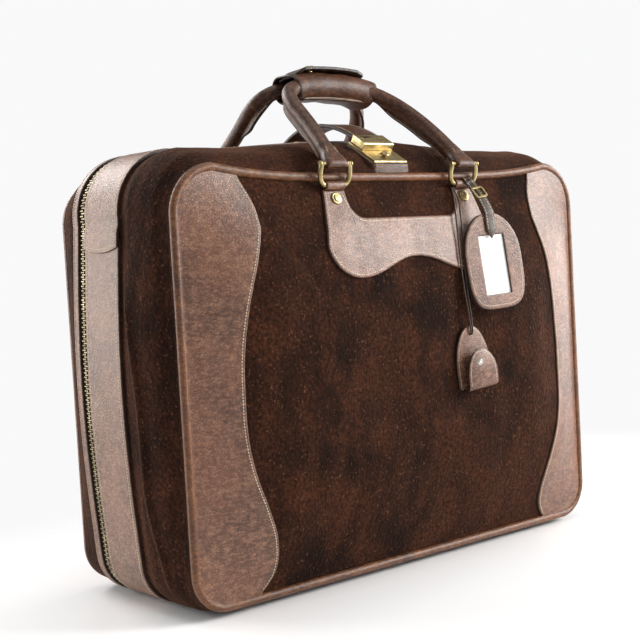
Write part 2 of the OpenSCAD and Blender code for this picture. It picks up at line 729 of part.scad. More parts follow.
module grip(bare = 0) {
  translate([-grip_flat, 0, handle_h]) rotate([0, 90, 0]) cylinder(r = grip_r, h = 2 * grip_flat);
  for (side = [0, 1]) {
    mirror([side, 0, 0]) {
      translate([grip_flat, 0, handle_h - turn_r]) {
        rotate([0, -90, -90]) {
          rotate_extrude(angle = turn + lap) translate([turn_r, 0]) circle(r = grip_r);
          rotate([0, 0, flange_from]) {
            rotate_extrude(angle = turn + lap - flange_from) translate([turn_r, 0]) flange();
          }
          rotate([0, 0, turn]) {
            translate([turn_r, 0, 0]) {
              rotate([-90, 0, 0]) {
                linear_extrude(leg_l) circle(r = grip_r + seam);
                linear_extrude(leg_l - bare) mirror([0, 1]) flange(seam);
              }
            }
          }
        }
      }
    }
  }
}

module handle_ends() {
  top_x = leg_x - ring_x;
  for (side = [0, 1]) {
    mirror([side, 0, 0]) {
      translate([ring_x, 0, 0]) {
        difference() {
          union() {
            translate([-end_w / 2, 0, 0]) rotate([0, 90, 0]) cylinder(r = sleeve_r, h = end_w);
            translate([0, sleeve_r * 0.8, 0]) {
              rotate([90, 0, 0]) {
                linear_extrude(sleeve_r * 1.6) {
                  polygon([[-end_w / 2, 0], [end_w / 2, 0], [end_w / 2, 3],
                    [top_x + grip_r - 0.5, grip_start - 3.6], [top_x - grip_r + 0.5, grip_start - 3.6],
                    [-end_w / 2, 3]]);
                }
              }
            }
            translate([leg_x - ring_x, 0, grip_start]) {
              rotate([0, 90 - leg_angle, 0]) translate([0, 0, -6]) cylinder(r = grip_r - 1, h = 6);
            }
          }
          translate([-end_w, 0, 0]) rotate([0, 90, 0]) cylinder(r = pin_r + run_fit, h = 2 * end_w);
        }
      }
    }
  }
}

// Wrap: a leather sleeve round both grips, with a flap that snaps over the top.
wrap_in = grip_r + 0.4;
wrap_out = wrap_in + leather_t + 0.2;
grip_off = grip_r + grip_space / 2;
droop = 1.3;

module slotted(r, off) {
  for (side = [-1, 1]) translate([side * off, 0]) circle(r = r);
  translate([-off, -r]) square([2 * off, 2 * r]);
}

module wrap() {
  translate([wrap_left, case_d / 2, grip_z]) {
    rotate([90, 0, 90]) {
      linear_extrude(wrap_right - wrap_left) {
        difference() {
          union() {
            slotted(wrap_out, grip_off);
            translate([0, -droop]) slotted(wrap_out, grip_off + droop);
          }
          union() {
            slotted(wrap_in, grip_off);
            translate([0, -droop]) slotted(wrap_in, grip_off + droop);
          }
        }
      }
    }
  }
}

flap_y = case_d / 2 + grip_off + 2;
flap_z = grip_z + wrap_out + 0.5;
snap_x = wrap_left + 18;

module in_flap() {
  translate([0, flap_y, flap_z]) rotate([-flap_lift, 0, 0]) children();
}

module flap() {
  l = wrap_right - wrap_left;
  difference() {
    linear_extrude(leather_t) {
      polygon([[wrap_left + 2, 0], [wrap_left + 2, -flap_reach + 8], [wrap_left + 10, -flap_reach],
        [wrap_right - 22, -flap_reach], [wrap_right - 8, -flap_reach + 9], [wrap_right - 5, 0]]);
    }
    translate([snap_x, 8 - flap_reach, -1]) cylinder(r = 1.6, h = leather_t + 2);
  }
}

module snap_cap(r) {
  rotate_extrude() polygon([[0, 0], [r, 0], [r, 0.8], [r - 1, 1.7], [0, 2]]);
}

// Sliders: two plates joined by a wedge, one each side of the middle, with a pull on its bridge.
slide_slope = atan((skin(top_mid, zip_y, 0)[2] - skin(top_mid - 1, zip_y, 0)[2])
  / skin(top_mid - 1, zip_y, 0)[0]);
slider_w = 11;
slider_t = 1.8;
slot_h = tooth_h / 2 + 0.5;
bridge_r = 1.4;
chain_top = top_z(0) + top_bulge(0) - tooth_h / 4;

module at_slider(side) {
  mirror([side < 0 ? 1 : 0, 0, 0]) {
    translate([slider_from, zip_y, chain_top]) rotate([0, slide_slope, 0]) children();
  }
}

module slider() {
  translate([0, -slider_w / 2, slot_h]) {
    linear_extrude(slider_t) {
      polygon([[0, 1.5], [3, 0], [slider_l, 1.8], [slider_l, slider_w - 1.8],
        [3, slider_w], [0, slider_w - 1.5]]);
    }
  }
  translate([0, -2, -slot_h - slider_t]) cube([slider_l, 4, slider_t]);
  translate([0, -1.6, -slot_h]) cube([5, 3.2, 2 * slot_h]);
  difference() {
    translate([5, 1.5, slot_h + slider_t]) {
      rotate([90, 0, 0]) linear_extrude(3) polygon([[0, 0], [12, 0], [10, 5.4], [2, 5.4]]);
    }
    translate([11, 3, slot_h + slider_t + 2.4]) rotate([90, 0, 0]) cylinder(r = bridge_r + 0.4, h = 6);
  }
}

module pull() {
  difference() {
    union() {
      translate([0, -4.5, -0.9]) {
        linear_extrude(1.8) {
          polygon([[-2.5, 0.5], [pull_l - 2, 0], [pull_l, 2], [pull_l, 7], [pull_l - 2, 9], [-2.5, 8.5]]);
        }
      }
      translate([0, 4.5, 0]) rotate([90, 0, 0]) cylinder(r = bridge_r, h = 9);
    }
    translate([1.8, -2, -2]) cube([7, 4, 4]);
    translate([-4, -2, -2]) cube([2.4, 4, 4]);
    difference() {
      translate([-4, -2, -2]) cube([6, 4, 4]);
      translate([0, 4, 0]) rotate([90, 0, 0]) cylinder(r = bridge_r, h = 8);
    }
    translate([pull_l - 5, 0, -2]) cylinder(r = 1.6, h = 4);
  }
}

module at_pull(side) {
  at_slider(side) translate([11, 0, slot_h + slider_t + 2.4]) rotate([0, 3, 0]) children();
}

// Luggage tag: two leather layers with a window, hung on a buckled strap from the right ear.
tag_x = 106;
tag_z = case_h - 112;
tag_y = panel_dome + sheet_hi + 4.5;
slot_in = 11;
strap_slot = 3.4;

function egg(a) = let (c = cos(a), s = sin(a))
  [tag_w / 2 * sign(c) * pow(abs(c), 0.62) * (s > 0 ? 1 - 0.3 * s * s : 1),
    tag_h / 2 * sign(s) * pow(abs(s), 0.74)];

module at_tag() {
  translate([tag_x, -tag_y, tag_z]) {
    rotate([0, 0, -tag_turn]) rotate([90 - tag_lean, 0, 0]) rotate([0, 0, tag_tilt]) children();
  }
}

// A point of the tag's own frame in the case's: u across, v up, w out of its face.
function tag_point(u, v, w) =
  let (x = u * cos(tag_tilt) - v * sin(tag_tilt), s = u * sin(tag_tilt) + v * cos(tag_tilt),
    y = s * sin(tag_lean) - w * cos(tag_lean))
  [tag_x + x * cos(tag_turn) + y * sin(tag_turn), -tag_y - x * sin(tag_turn) + y * cos(tag_turn),
    tag_z + s * cos(tag_lean) + w * sin(tag_lean)];

card_t = 0.8;
card_w = window_w + 8;
card_h = window_h + 8;
window_drop = 6;
layer_t = (tag_t - card_t - 0.2) / 2;

module tag() {
  difference() {
    linear_extrude(tag_t) polygon([for (k = [0:47]) egg(7.5 * k + 3.75)]);
    translate([-card_w / 2 - 0.2, -card_h / 2 - window_drop - 0.2, layer_t]) {
      cube([card_w + 0.4, card_h + 0.4, card_t + 0.2]);
    }
    translate([-window_w / 2, -window_h / 2 - window_drop, layer_t]) cube([window_w, window_h, tag_t]);
    translate([-lace_w / 2 - 1, tag_h / 2 - slot_in, -1]) cube([lace_w + 2, strap_slot, tag_t + 2]);
  }
}

module card() {
  translate([-card_w / 2, -card_h / 2 - window_drop, layer_t + 0.1]) cube([card_w, card_h, card_t]);
}

// The strap hooks over the ear inside the ring, runs through the buckle and ends on the tag's face.
tie_t = 1.6;
tie_fit = 0.4;
tie_r = loop_r + tie_fit + tie_t / 2;
tie_x = ring_x + 5;
tie_w = tag_point(1, 0, 0) - tag_point(0, 0, 0);
tie_off = tag_t + tie_fit + tie_t / 2;
tie_over = [for (a = [-60, -30, 0, 30, 60]) [tie_x, -bar_y - tie_r * sin(a), bar_z + tie_r * cos(a)]];
tie_down = [for (v = [2, -6, -16]) tag_point(1, tag_h / 2 + v, tie_off)];
tie_tip = tag_point(0, tag_h / 2 - 28, tie_off);
tie_from = [tie_x + 2, -bar_y - tie_r - 1.6, bar_z - 1];
tie_run = [for (t = [0, 0.35, 0.7]) mix(tie_from, tie_down[0] + [0, 1.2, 6], t)];
tie_route = concat(tie_over, tie_run, tie_down, [tie_tip]);

module tie() {
  n = len(tie_route);
  pts = [for (k = [0:n - 1])
    let (d = tie_route[min(k + 1, n - 1)] - tie_route[max(k - 1, 0)], u = d / norm(d),
      across = k < len(tie_over) ? [1, 0, 0] : tie_w,
      e = cross(u, across), f = e / norm(e), w = lace_w / 2 * (k == n - 1 ? 0.1 : 1))
    for (q = [[-1, -1], [1, -1], [1, 1], [-1, 1]]) tie_route[k] + q[0] * w * across + q[1] * tie_t / 2 * f];
  m = 4 * n - 4;
  faces = concat(
    [for (k = [0:n - 2]) for (a = [0:3]) let (p = k * 4 + a, q = k * 4 + (a + 1) % 4)
      each [[p, q, q + 4], [p, q + 4, p + 4]]],
    [[2, 1, 0], [3, 2, 0], [m, m + 1, m + 2], [m, m + 2, m + 3]]
  );
  polyhedron(pts, faces, convexity = 4);
}

buckle_w = lace_w + 5.5;
buckle_h = 15;
buckle_t = 1.8;
buckle_bar = 2.2;

module round_box(w, h, r) {
  square([w, h - 2 * r], center = true);
  square([w - 2 * r, h], center = true);
  for (x = [-1, 1]) for (y = [-1, 1]) translate([x * (w / 2 - r), y * (h / 2 - r)]) circle(r = r);
}

// The buckle lies on the strap's slanting run.
buckle_u = (tie_run[2] - tie_run[0]) / norm(tie_run[2] - tie_run[0]);
buckle_f = cross(buckle_u, tie_w) / norm(cross(buckle_u, tie_w));
buckle_x = cross(buckle_f, buckle_u);
buckle_at = mix(tie_run[0], tie_run[2], 0.62) + (tie_t / 2 + tie_fit) * buckle_f;

module at_buckle() {
  multmatrix([
    [buckle_x[0], -buckle_u[0], buckle_f[0], buckle_at[0]],
    [buckle_x[1], -buckle_u[1], buckle_f[1], buckle_at[1]],
    [buckle_x[2], -buckle_u[2], buckle_f[2], buckle_at[2]],
    [0, 0, 0, 1]
  ]) children();
}

module buckle() {
  linear_extrude(buckle_t) {
    difference() {
      round_box(buckle_w, buckle_h, 3.5);
      round_box(buckle_w - 2 * buckle_bar, buckle_h - 2 * buckle_bar, 1.6);
    }
  }
  translate([0, buckle_h / 2 - 1, buckle_t / 2]) rotate([90, 0, 0]) cylinder(r = 0.7, h = buckle_h - 2);
}

// Key pouch: a leaf with a round top and a flap folded up at its foot, hung on a doubled lace.
pouch_x = 70;
pouch_z = case_h - 214;
pouch_back = panel_dome + 3.4;
pouch_turn = 5;
pouch_tilt = 6;
pouch_top_r = 14;
leaf_t = 2.4;
eyelet_in = 10;

module at_pouch() {
  translate([pouch_x, -pouch_back, pouch_z]) rotate([0, -pouch_tilt, -pouch_turn]) children();
}

// Outline with a round top of radius r and a straight foot.
module drop_shape(w, h, r) {
  polygon(concat([[-w / 2 + 2, 0], [w / 2 - 2, 0], [w / 2, 3], [w / 2 - 0.6, h * 0.3]],
    [for (a = [15:15:165]) [r * cos(a), h - r + r * sin(a)]],
    [[-w / 2 + 0.6, h * 0.3], [-w / 2, 3]]));
}

module leaf() {
  difference() {
    translate([0, 0, -pouch_h / 2]) rotate([90, 0, 0]) {
      linear_extrude(leaf_t) drop_shape(pouch_w, pouch_h, pouch_top_r);
    }
    translate([0, 1, pouch_h / 2 - eyelet_in]) {
      rotate([90, 0, 0]) cylinder(r = cord_d / 2 + 0.9, h = leaf_t + 2);
    }
  }
}

fold_t = 2.2;
fold_gap = 0.4;
fold_w = pouch_w - 1;
fold_h = pouch_h * 0.66;
fold_z = -pouch_h / 2 - fold_gap - fold_t;
fold_y = -leaf_t - pouch_room;
snap_up = fold_h - 14;

module fold() {
  difference() {
    union() {
      translate([0, fold_y, fold_z]) rotate([90, 0, 0]) {
        linear_extrude(fold_t) drop_shape(fold_w, fold_h, pouch_top_r);
      }
      translate([2 - fold_w / 2, fold_y - fold_t, fold_z]) cube([fold_w - 4, fold_t - fold_y, fold_t]);
    }
    translate([0, fold_y + 1, fold_z + snap_up]) rotate([90, 0, 0]) cylinder(r = 1.5, h = fold_t + 2);
  }
}

// The lace's way from the ear to the pouch: x, distance in front of the panel edge, depth below the top.
lace_points = [[78.4, 8, 27.8], [77.8, 10, 32], [76.8, 13.4, 38], [75, 17, 46], [72, 21, 58],
  [68.5, 25.4, 72], [65, 29.6, 90], [63, 32.6, 110], [63, 34, 130], [64.5, 35.2, 150],
  [66.6, 36.3, 170], [67.4, 36.9, 182], [67.6, 36.9, 186.5], [67.7, 35.6, 189.4], [67.7, 33.6, 190.4]];

module lace() {
  n = len(lace_points);
  pts = [for (p = lace_points) [p[0], -p[1], case_h - p[2]]];
  rings = [for (k = [0:n - 1]) let (d = pts[min(k + 1, n - 1)] - pts[max(k - 1, 0)], u = d / norm(d),
    e = cross(u, [1, 0, 0]), f = e / norm(e), g = cross(f, u))
    for (a = [0:7]) pts[k] + cord_d / 2 * (cos(45 * a) * g + sin(45 * a) * f)];
  faces = concat(
    [for (k = [0:n - 2]) for (a = [0:7]) let (p = k * 8 + a, q = k * 8 + (a + 1) % 8)
      each [[p, q, q + 8], [p, q + 8, p + 8]]],
    [[for (a = [7:-1:0]) a], [for (a = [0:7]) (n - 1) * 8 + a]]
  );
  polyhedron(rings, faces, convexity = 4);
}

// The whole stands on its studs, centred over the ground between its foremost and rearmost points.
front_reach = tag_y + tag_t + 9;
rear_reach = panel_dome + sheet_hi;

module place() {
  translate([0, (front_reach - rear_reach) / 2 - case_d / 2, foot_h]) children();
}

module front_panel() color(suede) place() pillow();
module front_board() color("#8a7250") place() board();
module front_side_panels() color(leather) place() wings();
module front_handle_patch() color(leather) place() patch();
module front_rivets() color(brass) place() rivets();
module front_piping() color("#8a5f3e") place() piping();
module front_gusset() color(suede) place() wall(all_round, front_rows, -suede_t, 0);

module zip_band_sides() {
  color(leather) {
    place() {
      wall(run(zip_end, lap_at - 0.01), [band_front, zip_y - zip_half], gap, gap + leather_t, false);
      wall(run(last_left - lap_at + 0.01, last_left - zip_end), [band_front, zip_y - zip_half],
        gap, gap + leather_t, false);
    }
  }
}

module zip_band_top() {
  color(leather) {
    place() {
      wall(run(lap_at, last_left - lap_at), [band_front, zip_y - zip_half], gap, gap + leather_t, false);
    }
  }
}

module base_frame() {
  color("#8a7250") place() wall(all_round, [hoop_y, zip_y - zip_half], frame_s - board_t, frame_s);
}

module base_lining() {
  color("#b39a78") {
    place() {
      tray([wall_y + 1.6, 14, 34, hoop_y, zip_y - zip_half], lining_s - lining_t, lining_s, lining_t, true);
    }
  }
}

module zip_tape_front() {
  color(black) {
    place() {
      wall(run(zip_end, last_left - zip_end), [tape_y + gap, zip_y - tape_reach], -1.4, -0.2, false);
    }
  }
}

module zip_teeth_front() color(brass) place() teeth(0, 0);
module front_feet() color(brass) place() feet_pair(foot_in);
module lock_pad() color(leather) place() pad();
module lock_plate() color(brass) place() on_plate() plate();
module lock_screws() color(brass) place() on_plate() screws();

module hinge_strip() {
  color(leather) {
    place() {
      wall(run(last_left + 0.4, count - 0.4), [zip_y - 34, zip_y - 3, zip_y + 3, zip_y + 26],
        gap, gap + leather_t, false);
    }
  }
}

module lock_knob() color(brass) place() on_plate() knob();
module front_rings() color(brass) place() at_rings() ring();
module front_ring_pins() color(brass) place() at_rings() pin();
module front_handle() color(leather) place() in_handle() grip();
module front_handle_ends() color(leather) place() in_handle() handle_ends();
module handle_wrap() color(leather) place() wrap();

module wrap_stud() {
  color(brass) {
    place() translate([snap_x, flap_y - flap_reach + 8, grip_z + wrap_out]) cylinder(r = 3, h = 1);
  }
}

module wrap_flap() color(dark_leather) place() in_flap() flap();

module wrap_snap() {
  color(brass) {
    place() in_flap() translate([snap_x, 8 - flap_reach, leather_t]) snap_cap(6);
  }
}

module rear_panel() color(suede) place() rear() pillow();
module rear_board() color("#8a7250") place() rear() board();
module rear_side_panels() color(leather) place() rear() wings();
module rear_handle_patch() color(leather) place() rear() patch();
module rear_rivets() color(brass) place() rear() rivets();
module rear_piping() color("#8a5f3e") place() rear() piping();
module rear_gusset() color(suede) place() wall(all_round, rear_rows, -suede_t, 0);

module zip_band_rear() {
  color(leather) {
    place() {
      wall(run(zip_end, last_left - zip_end), [zip_y + zip_half, zip_y + zip_half + 6, band_rear],
        gap, gap + leather_t, false);
    }
  }
}

module lid_frame() {
  color("#8a7250") place() wall(all_round, [zip_y + zip_half, zip_y + lid_hoop], frame_s - board_t, frame_s);
}

module lid_lining() {
  color("#b39a78") {
    place() {
      tray([zip_y + zip_half, case_d - 28, case_d - 15, case_d - wall_y - 1.6],
        lining_s - lining_t, lining_s, lining_t, false);
    }
  }
}

module zip_tape_rear() {
  color(black) {
    place() {
      wall(run(zip_end, last_left - zip_end), [zip_y + tape_reach, zip_y + zip_half + 6 - gap],
        -1.4, -0.2, false);
    }
  }
}

module zip_teeth_rear() color(brass) place() teeth(0.5, 1);
module rear_feet() color(brass) place() feet_pair(case_d - foot_in);
module strap_anchor() color(leather) place() anchor();
module rear_rings() color(brass) place() rear() at_rings() ring();
module rear_ring_pins() color(brass) place() rear() at_rings() pin();
module rear_handle() color(leather) place() rear() in_handle() grip(rear_bare);
module rear_handle_ends() color(leather) place() rear() in_handle() handle_ends();
module lock_strap() color(leather) place() strap();
module lock_hasp() color(brass) place() on_plate() hasp();
module zip_slider_left() color(brass) place() at_slider(-1) slider();
module zip_slider_right() color(brass) place() at_slider(1) slider();
module zip_pull_left() color(brass) place() at_pull(-1) pull();
module zip_pull_right() color(brass) place() at_pull(1) pull();
module tag_body() color(leather) place() at_tag() tag();
module tag_card() color("white") place() at_tag() card();

module tag_strap() color(dark_leather) place() tie();
module tag_buckle() color(brass) place() at_buckle() buckle();
module key_lace() color(dark_leather) place() lace();
module pouch_body() color(leather) place() at_pouch() leaf();
module pouch_flap() color(leather) place() at_pouch() fold();

module pouch_snap() {
  color("silver") {
    place() at_pouch() translate([0, fold_y - fold_t, fold_z + snap_up]) rotate([90, 0, 0]) snap_cap(4.2);
  }
}

front_panel();
front_board();
front_side_panels();
front_handle_patch();
front_rivets();
front_piping();
front_gusset();
zip_band_sides();
zip_band_top();
base_frame();
base_lining();
zip_tape_front();
zip_teeth_front();
front_feet();
lock_pad();
lock_plate();
lock_screws();
hinge_strip();
lock_knob();
front_rings();
front_ring_pins();
front_handle();
front_handle_ends();
handle_wrap();
wrap_stud();
wrap_flap();
wrap_snap();
rear_panel();
rear_board();
rear_side_panels();
rear_handle_patch();
rear_rivets();
rear_piping();
rear_gusset();
zip_band_rear();
lid_frame();
lid_lining();
zip_tape_rear();
zip_teeth_rear();
rear_feet();
strap_anchor();
rear_rings();
rear_ring_pins();
rear_handle();
rear_handle_ends();
lock_strap();
lock_hasp();
zip_slider_left();
zip_slider_right();
zip_pull_left();
zip_pull_right();
tag_body();
tag_card();
tag_strap();
tag_buckle();
key_lace();
pouch_body();
pouch_flap();
pouch_snap();
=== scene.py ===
import math
import bmesh
import bpy
import numpy as np
from mathutils import Matrix, Vector


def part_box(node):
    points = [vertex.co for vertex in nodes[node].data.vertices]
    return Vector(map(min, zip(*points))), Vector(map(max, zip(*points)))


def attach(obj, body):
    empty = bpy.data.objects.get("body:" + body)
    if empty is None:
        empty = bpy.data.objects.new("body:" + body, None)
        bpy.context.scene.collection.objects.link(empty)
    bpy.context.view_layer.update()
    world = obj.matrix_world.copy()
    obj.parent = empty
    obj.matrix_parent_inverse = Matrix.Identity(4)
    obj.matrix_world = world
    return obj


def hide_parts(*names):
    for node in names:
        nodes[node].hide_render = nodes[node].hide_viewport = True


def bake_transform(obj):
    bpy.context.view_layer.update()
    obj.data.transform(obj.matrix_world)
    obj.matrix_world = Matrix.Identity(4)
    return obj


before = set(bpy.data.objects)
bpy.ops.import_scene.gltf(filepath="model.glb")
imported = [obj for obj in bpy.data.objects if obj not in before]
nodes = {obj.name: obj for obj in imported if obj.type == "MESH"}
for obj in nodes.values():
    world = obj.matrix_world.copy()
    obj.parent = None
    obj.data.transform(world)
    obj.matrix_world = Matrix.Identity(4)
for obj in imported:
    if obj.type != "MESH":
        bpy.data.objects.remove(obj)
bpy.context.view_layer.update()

# Lengths are mm in the case's frame: x to the right, y from the front piping to the rear, z up.
caseShift = np.array([0.0, -90.75, 5.0])
caseMiddle = (0.0, 100.0, 215.0)
panelMiddle = np.array([0.0, 215.0])
bodyOf = {"front": "base", "rear": "lid"}
ends = {-1: "A", 1: "B"}


def toModel(points):
    return (np.asarray(points, float) + caseShift) * 0.001


def mix(a, b, t):
    return a + (b - a) * t


def ease(t):
    return 0.5 - 0.5 * np.cos(np.pi * np.clip(t, 0, 1))


# Bell curve, 1 at 0.
def bell(d, width):
    return np.exp(-(d / width) ** 2)


def unit(v):
    return v / np.maximum(np.linalg.norm(v, axis=-1, keepdims=True), 1e-9)


def spots(*axes):
    return np.stack(np.broadcast_arrays(*axes), -1)


def lengths(path):
    return np.r_[0, np.cumsum(np.linalg.norm(np.diff(path, axis=0), axis=1))]


def closed(row):
    return np.concatenate([row, row[:1]])


# Sum of plane waves with seeded directions, about -1 to 1, features about size mm across.
def softNoise(u, v, size, seed, octaves=2):
    dice = np.random.default_rng(seed)
    total = np.zeros(np.broadcast(u, v).shape)
    for k in range(octaves * 5):
        turn, phase = dice.uniform(0, 2 * np.pi, 2)
        rate = 2 * np.pi / size * dice.uniform(0.7, 1.4) * 2.0 ** (k // 5)
        total = total + np.sin(rate * (u * np.cos(turn) + v * np.sin(turn)) + phase) / 2.0 ** (k // 5)
    return total / 4.0


def gridFaces(rows, cols, closeCols=False, closeRows=False):
    r = np.arange(rows if closeRows else rows - 1)[:, None]
    c = np.arange(cols if closeCols else cols - 1)[None, :]
    r2, c2 = (r + 1) % rows, (c + 1) % cols
    return np.stack([r * cols + c, r * cols + c2, r2 * cols + c2, r2 * cols + c], -1).reshape(-1, 4)


# Triangles from a ring of points to one tip.
def fanFaces(first, count, tip):
    c = np.arange(count)
    return np.c_[first + c, first + (c + 1) % count, 0 * c + tip]


# Edge is a mark per point for the dark cut rim and for painted shade along stitch grooves and beside the zip
# bands. Faces turn away from the point away (inside: towards it), or are turned outwards by Blender for a solid.
def addPiece(name, verts, faces, look, body, node=None, away=None, inside=False, edge=None, sharp=None,
             solid=False):
    points = toModel(verts).reshape(-1, 3)
    mesh = bpy.data.meshes.new(name)
    mesh.from_pydata(points.tolist(), [], sum([f.tolist() for f in faces], []))
    if away is not None:
        a, b, c = np.moveaxis(points[np.concatenate([f[:, :3] for f in faces])], 1, 0)
        push = np.einsum("ij,ij->i", np.cross(b - a, c - a), (a + b + c) / 3 - toModel(away)).sum()
        if (push < 0) != inside:
            mesh.flip_normals()
    if edge is not None:
        marks = mesh.attributes.new("edge", "FLOAT", "POINT")
        marks.data.foreach_set("value", np.ravel(edge).astype(np.float32))
    mesh.materials.append(look)
    mesh.polygons.foreach_set("use_smooth", np.ones(len(mesh.polygons), bool))
    if sharp:
        mesh.set_sharp_from_angle(angle=math.radians(sharp))
    if solid:
        shape = bmesh.new()
        shape.from_mesh(mesh)
        bmesh.ops.recalc_face_normals(shape, faces=shape.faces)
        shape.to_mesh(mesh)
        shape.free()
    piece = bpy.data.objects.new(name, mesh)
    bpy.context.scene.collection.objects.link(piece)
    if body:
        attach(piece, body)
    if node:
        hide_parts(node)
    return piece


# Hex code to linear colour: v / 12.92 up to 0.04045, above it ((v + 0.055) / 1.055) ** 2.4.
def linear(code):
    v = np.array([int(code[i:i + 2], 16) for i in (1, 3, 5)]) / 255
    return tuple(np.where(v <= 0.04045, v / 12.92, ((v + 0.055) / 1.055) ** 2.4)) + (1.0,)


# Values of a node's inputs: a socket is linked, a text is a hex colour.
def setInputs(tree, node, inputs):
    for key, value in inputs.items():
        if isinstance(value, bpy.types.NodeSocket):
            tree.links.new(value, node.inputs[key])
        else:
            node.inputs[key].default_value = linear(value) if isinstance(value, str) else value


def addNode(tree, kind, inputs=None, **settings):
    node = tree.nodes.new(kind)
    for key, value in settings.items():
        setattr(node, key, value)
    setInputs(tree, node, inputs or {})
    return node


# A 0 to 1 mask from fractal noise with cells sizeMm across; stretch squeezes it along the axes.
def cloud(tree, place, sizeMm, low, high, detail=3.0, stretch=None):
    if stretch:
        place = addNode(tree, "ShaderNodeMapping", {"Vector": place, "Scale": stretch}).outputs[0]
    noise = addNode(tree, "ShaderNodeTexNoise", {"Vector": place, "Scale": 1000.0 / sizeMm, "Detail": detail})
    span = {"Value": noise.outputs[0], "From Min": low, "From Max": high}
    return addNode(tree, "ShaderNodeMapRange", span).outputs[0]


def math2(tree, kind, a, b):
    return addNode(tree, "ShaderNodeMath", {0: a, 1: b}, operation=kind).outputs[0]


# Colour a going over to b where the mask is 1, there by the given share.
def tint(tree, mask, a, b, share=None):
    if share:
        mask = math2(tree, "MULTIPLY", mask, share)
    return addNode(tree, "ShaderNodeMix", {0: mask, 6: a, 7: b}, data_type="RGBA").outputs[2]


def relief(tree, height, strength, depthMm):
    values = {"Height": height, "Strength": strength, "Distance": depthMm / 1000}
    return addNode(tree, "ShaderNodeBump", values).outputs[0]


def startLook(name, values):
    look = bpy.data.materials.new(name)
    look.use_nodes = True
    tree = look.node_tree
    shader = tree.nodes["Principled BSDF"]
    setInputs(tree, shader, values)
    return look, tree, shader, addNode(tree, "ShaderNodeTexCoord").outputs["Object"]


# Napped suede: soft dark brown with rubbed lighter patches, brushed streaks and a velvet bloom at the turn.
def suedeLook():
    look, tree, shader, place = startLook("brushedSuede", {
        "Roughness": 0.95, "Specular IOR Level": 0.1, "Sheen Weight": 0.15, "Sheen Roughness": 0.34,
        "Sheen Tint": "#c08560"})
    nap = cloud(tree, place, 3.6, 0.36, 0.64, 3.0)
    color = tint(tree, cloud(tree, place, 110, 0.4, 0.62, 4.0), "#180b06", "#391f13")
    for mask, tone, share in ((cloud(tree, place, 26, 0.42, 0.68, 6.0, (1.0, 1.0, 0.7)), "#522e1c", 0.5),
                              (nap, "#180c08", 0.75), (cloud(tree, place, 2.8, 0.62, 0.72, 2.0), "#7a543d", 0.4)):
        color = tint(tree, mask, color, tone, share)
    setInputs(tree, shader, {"Base Color": color, "Normal": relief(tree, nap, 0.6, 0.8)})
    return look


# Grained cowhide, drum dyed and waxed: slanting creased grain, fine pits, cloudy wear, dark cut edges and, from
# the edge mark, painted shade along stitch grooves and beside the zip bands.
def leatherLook(name, dark, middle, light, rough, grainMm=2.4, shine=0.55):
    look, tree, shader, place = startLook(name, {
        "Roughness": rough, "Specular IOR Level": shine, "Coat Weight": 0.05, "Coat Roughness": 0.3})
    wobble = addNode(tree, "ShaderNodeTexNoise", {"Vector": place, "Scale": 1000 / 5.0, "Detail": 1.0})
    wobble = addNode(tree, "ShaderNodeVectorMath", {0: wobble.outputs["Color"], 1: (0.003, 0.003, 0.003)},
                     operation="MULTIPLY").outputs[0]
    slant = addNode(tree, "ShaderNodeVectorMath", {0: place, 1: wobble}, operation="ADD").outputs[0]
    turn = {"Vector": slant, "Rotation": (0, 0.5, 0), "Scale": (0.65, 1, 1.1)}
    slant = addNode(tree, "ShaderNodeMapping", turn).outputs[0]
    cells = addNode(tree, "ShaderNodeTexVoronoi", {"Vector": slant, "Scale": 1000 / grainMm},
                    feature="DISTANCE_TO_EDGE")
    grain = addNode(tree, "ShaderNodeMapRange", {"Value": cells.outputs[0], "From Max": 0.26}).outputs[0]
    pit = cloud(tree, slant, 3.0, 0.58, 0.74, 2.0)
    worn = cloud(tree, place, 9, 0.48, 0.8, 5.0)
    fleck = cloud(tree, place, 3.4, 0.44, 0.66, 2.0, (0.55, 1.0, 1.3))
    # Edge mark: dark cut edges, and painted shade of stitch grooves and of the gap beside the zip bands.
    rim = addNode(tree, "ShaderNodeAttribute", attribute_name="edge").outputs["Fac"]
    color = tint(tree, cloud(tree, place, 60, 0.32, 0.68, 5.0), dark, middle)
    for mask, tone, share in ((worn, light, 0.5), (fleck, light, 0.4),
                              (math2(tree, "SUBTRACT", 1.0, grain), "#22140d", 0.5), (pit, "#22140d", 0.5),
                              (rim, "#1f130d", None)):
        color = tint(tree, mask, color, tone, share)
    height = math2(tree, "SUBTRACT", grain, math2(tree, "MULTIPLY", pit, 0.6))
    setInputs(tree, shader, {"Base Color": color, "Normal": relief(tree, height, 0.36, 0.35)})
    return look


# Turned metal, polished and handled: bright, with faint rubbed clouds in the gloss and the colour.
def metalLook(name, bright, dull, rough):
    look, tree, shader, place = startLook(name, {"Metallic": 1.0})
    rubbed = cloud(tree, place, 7, 0.35, 0.75, 4.0)
    gloss = addNode(tree, "ShaderNodeMapRange", {"Value": rubbed, "To Min": rough, "To Max": rough + 0.16})
    setInputs(tree, shader, {"Base Color": tint(tree, rubbed, bright, dull), "Roughness": gloss.outputs[0]})
    return look


# Woven cloth: crossed yarns as a fine relief, with the hollows darker.
# Period of a wave texture = 2 * pi / (20 * scale).
def clothLook(name, yarn, hollow, periodMm):
    look, tree, shader, place = startLook(name, {"Roughness": 0.85, "Specular IOR Level": 0.2})
    values = {"Vector": place, "Scale": 1000 * 2 * math.pi / 20 / periodMm}
    waves = (addNode(tree, "ShaderNodeTexWave", values, bands_direction=axis) for axis in ("X", "Z"))
    weave = math2(tree, "MAXIMUM", *(wave.outputs["Fac"] for wave in waves))
    setInputs(tree, shader, {"Base Color": tint(tree, weave, hollow, yarn),
                             "Normal": relief(tree, weave, 0.3, 0.3)})
    return look


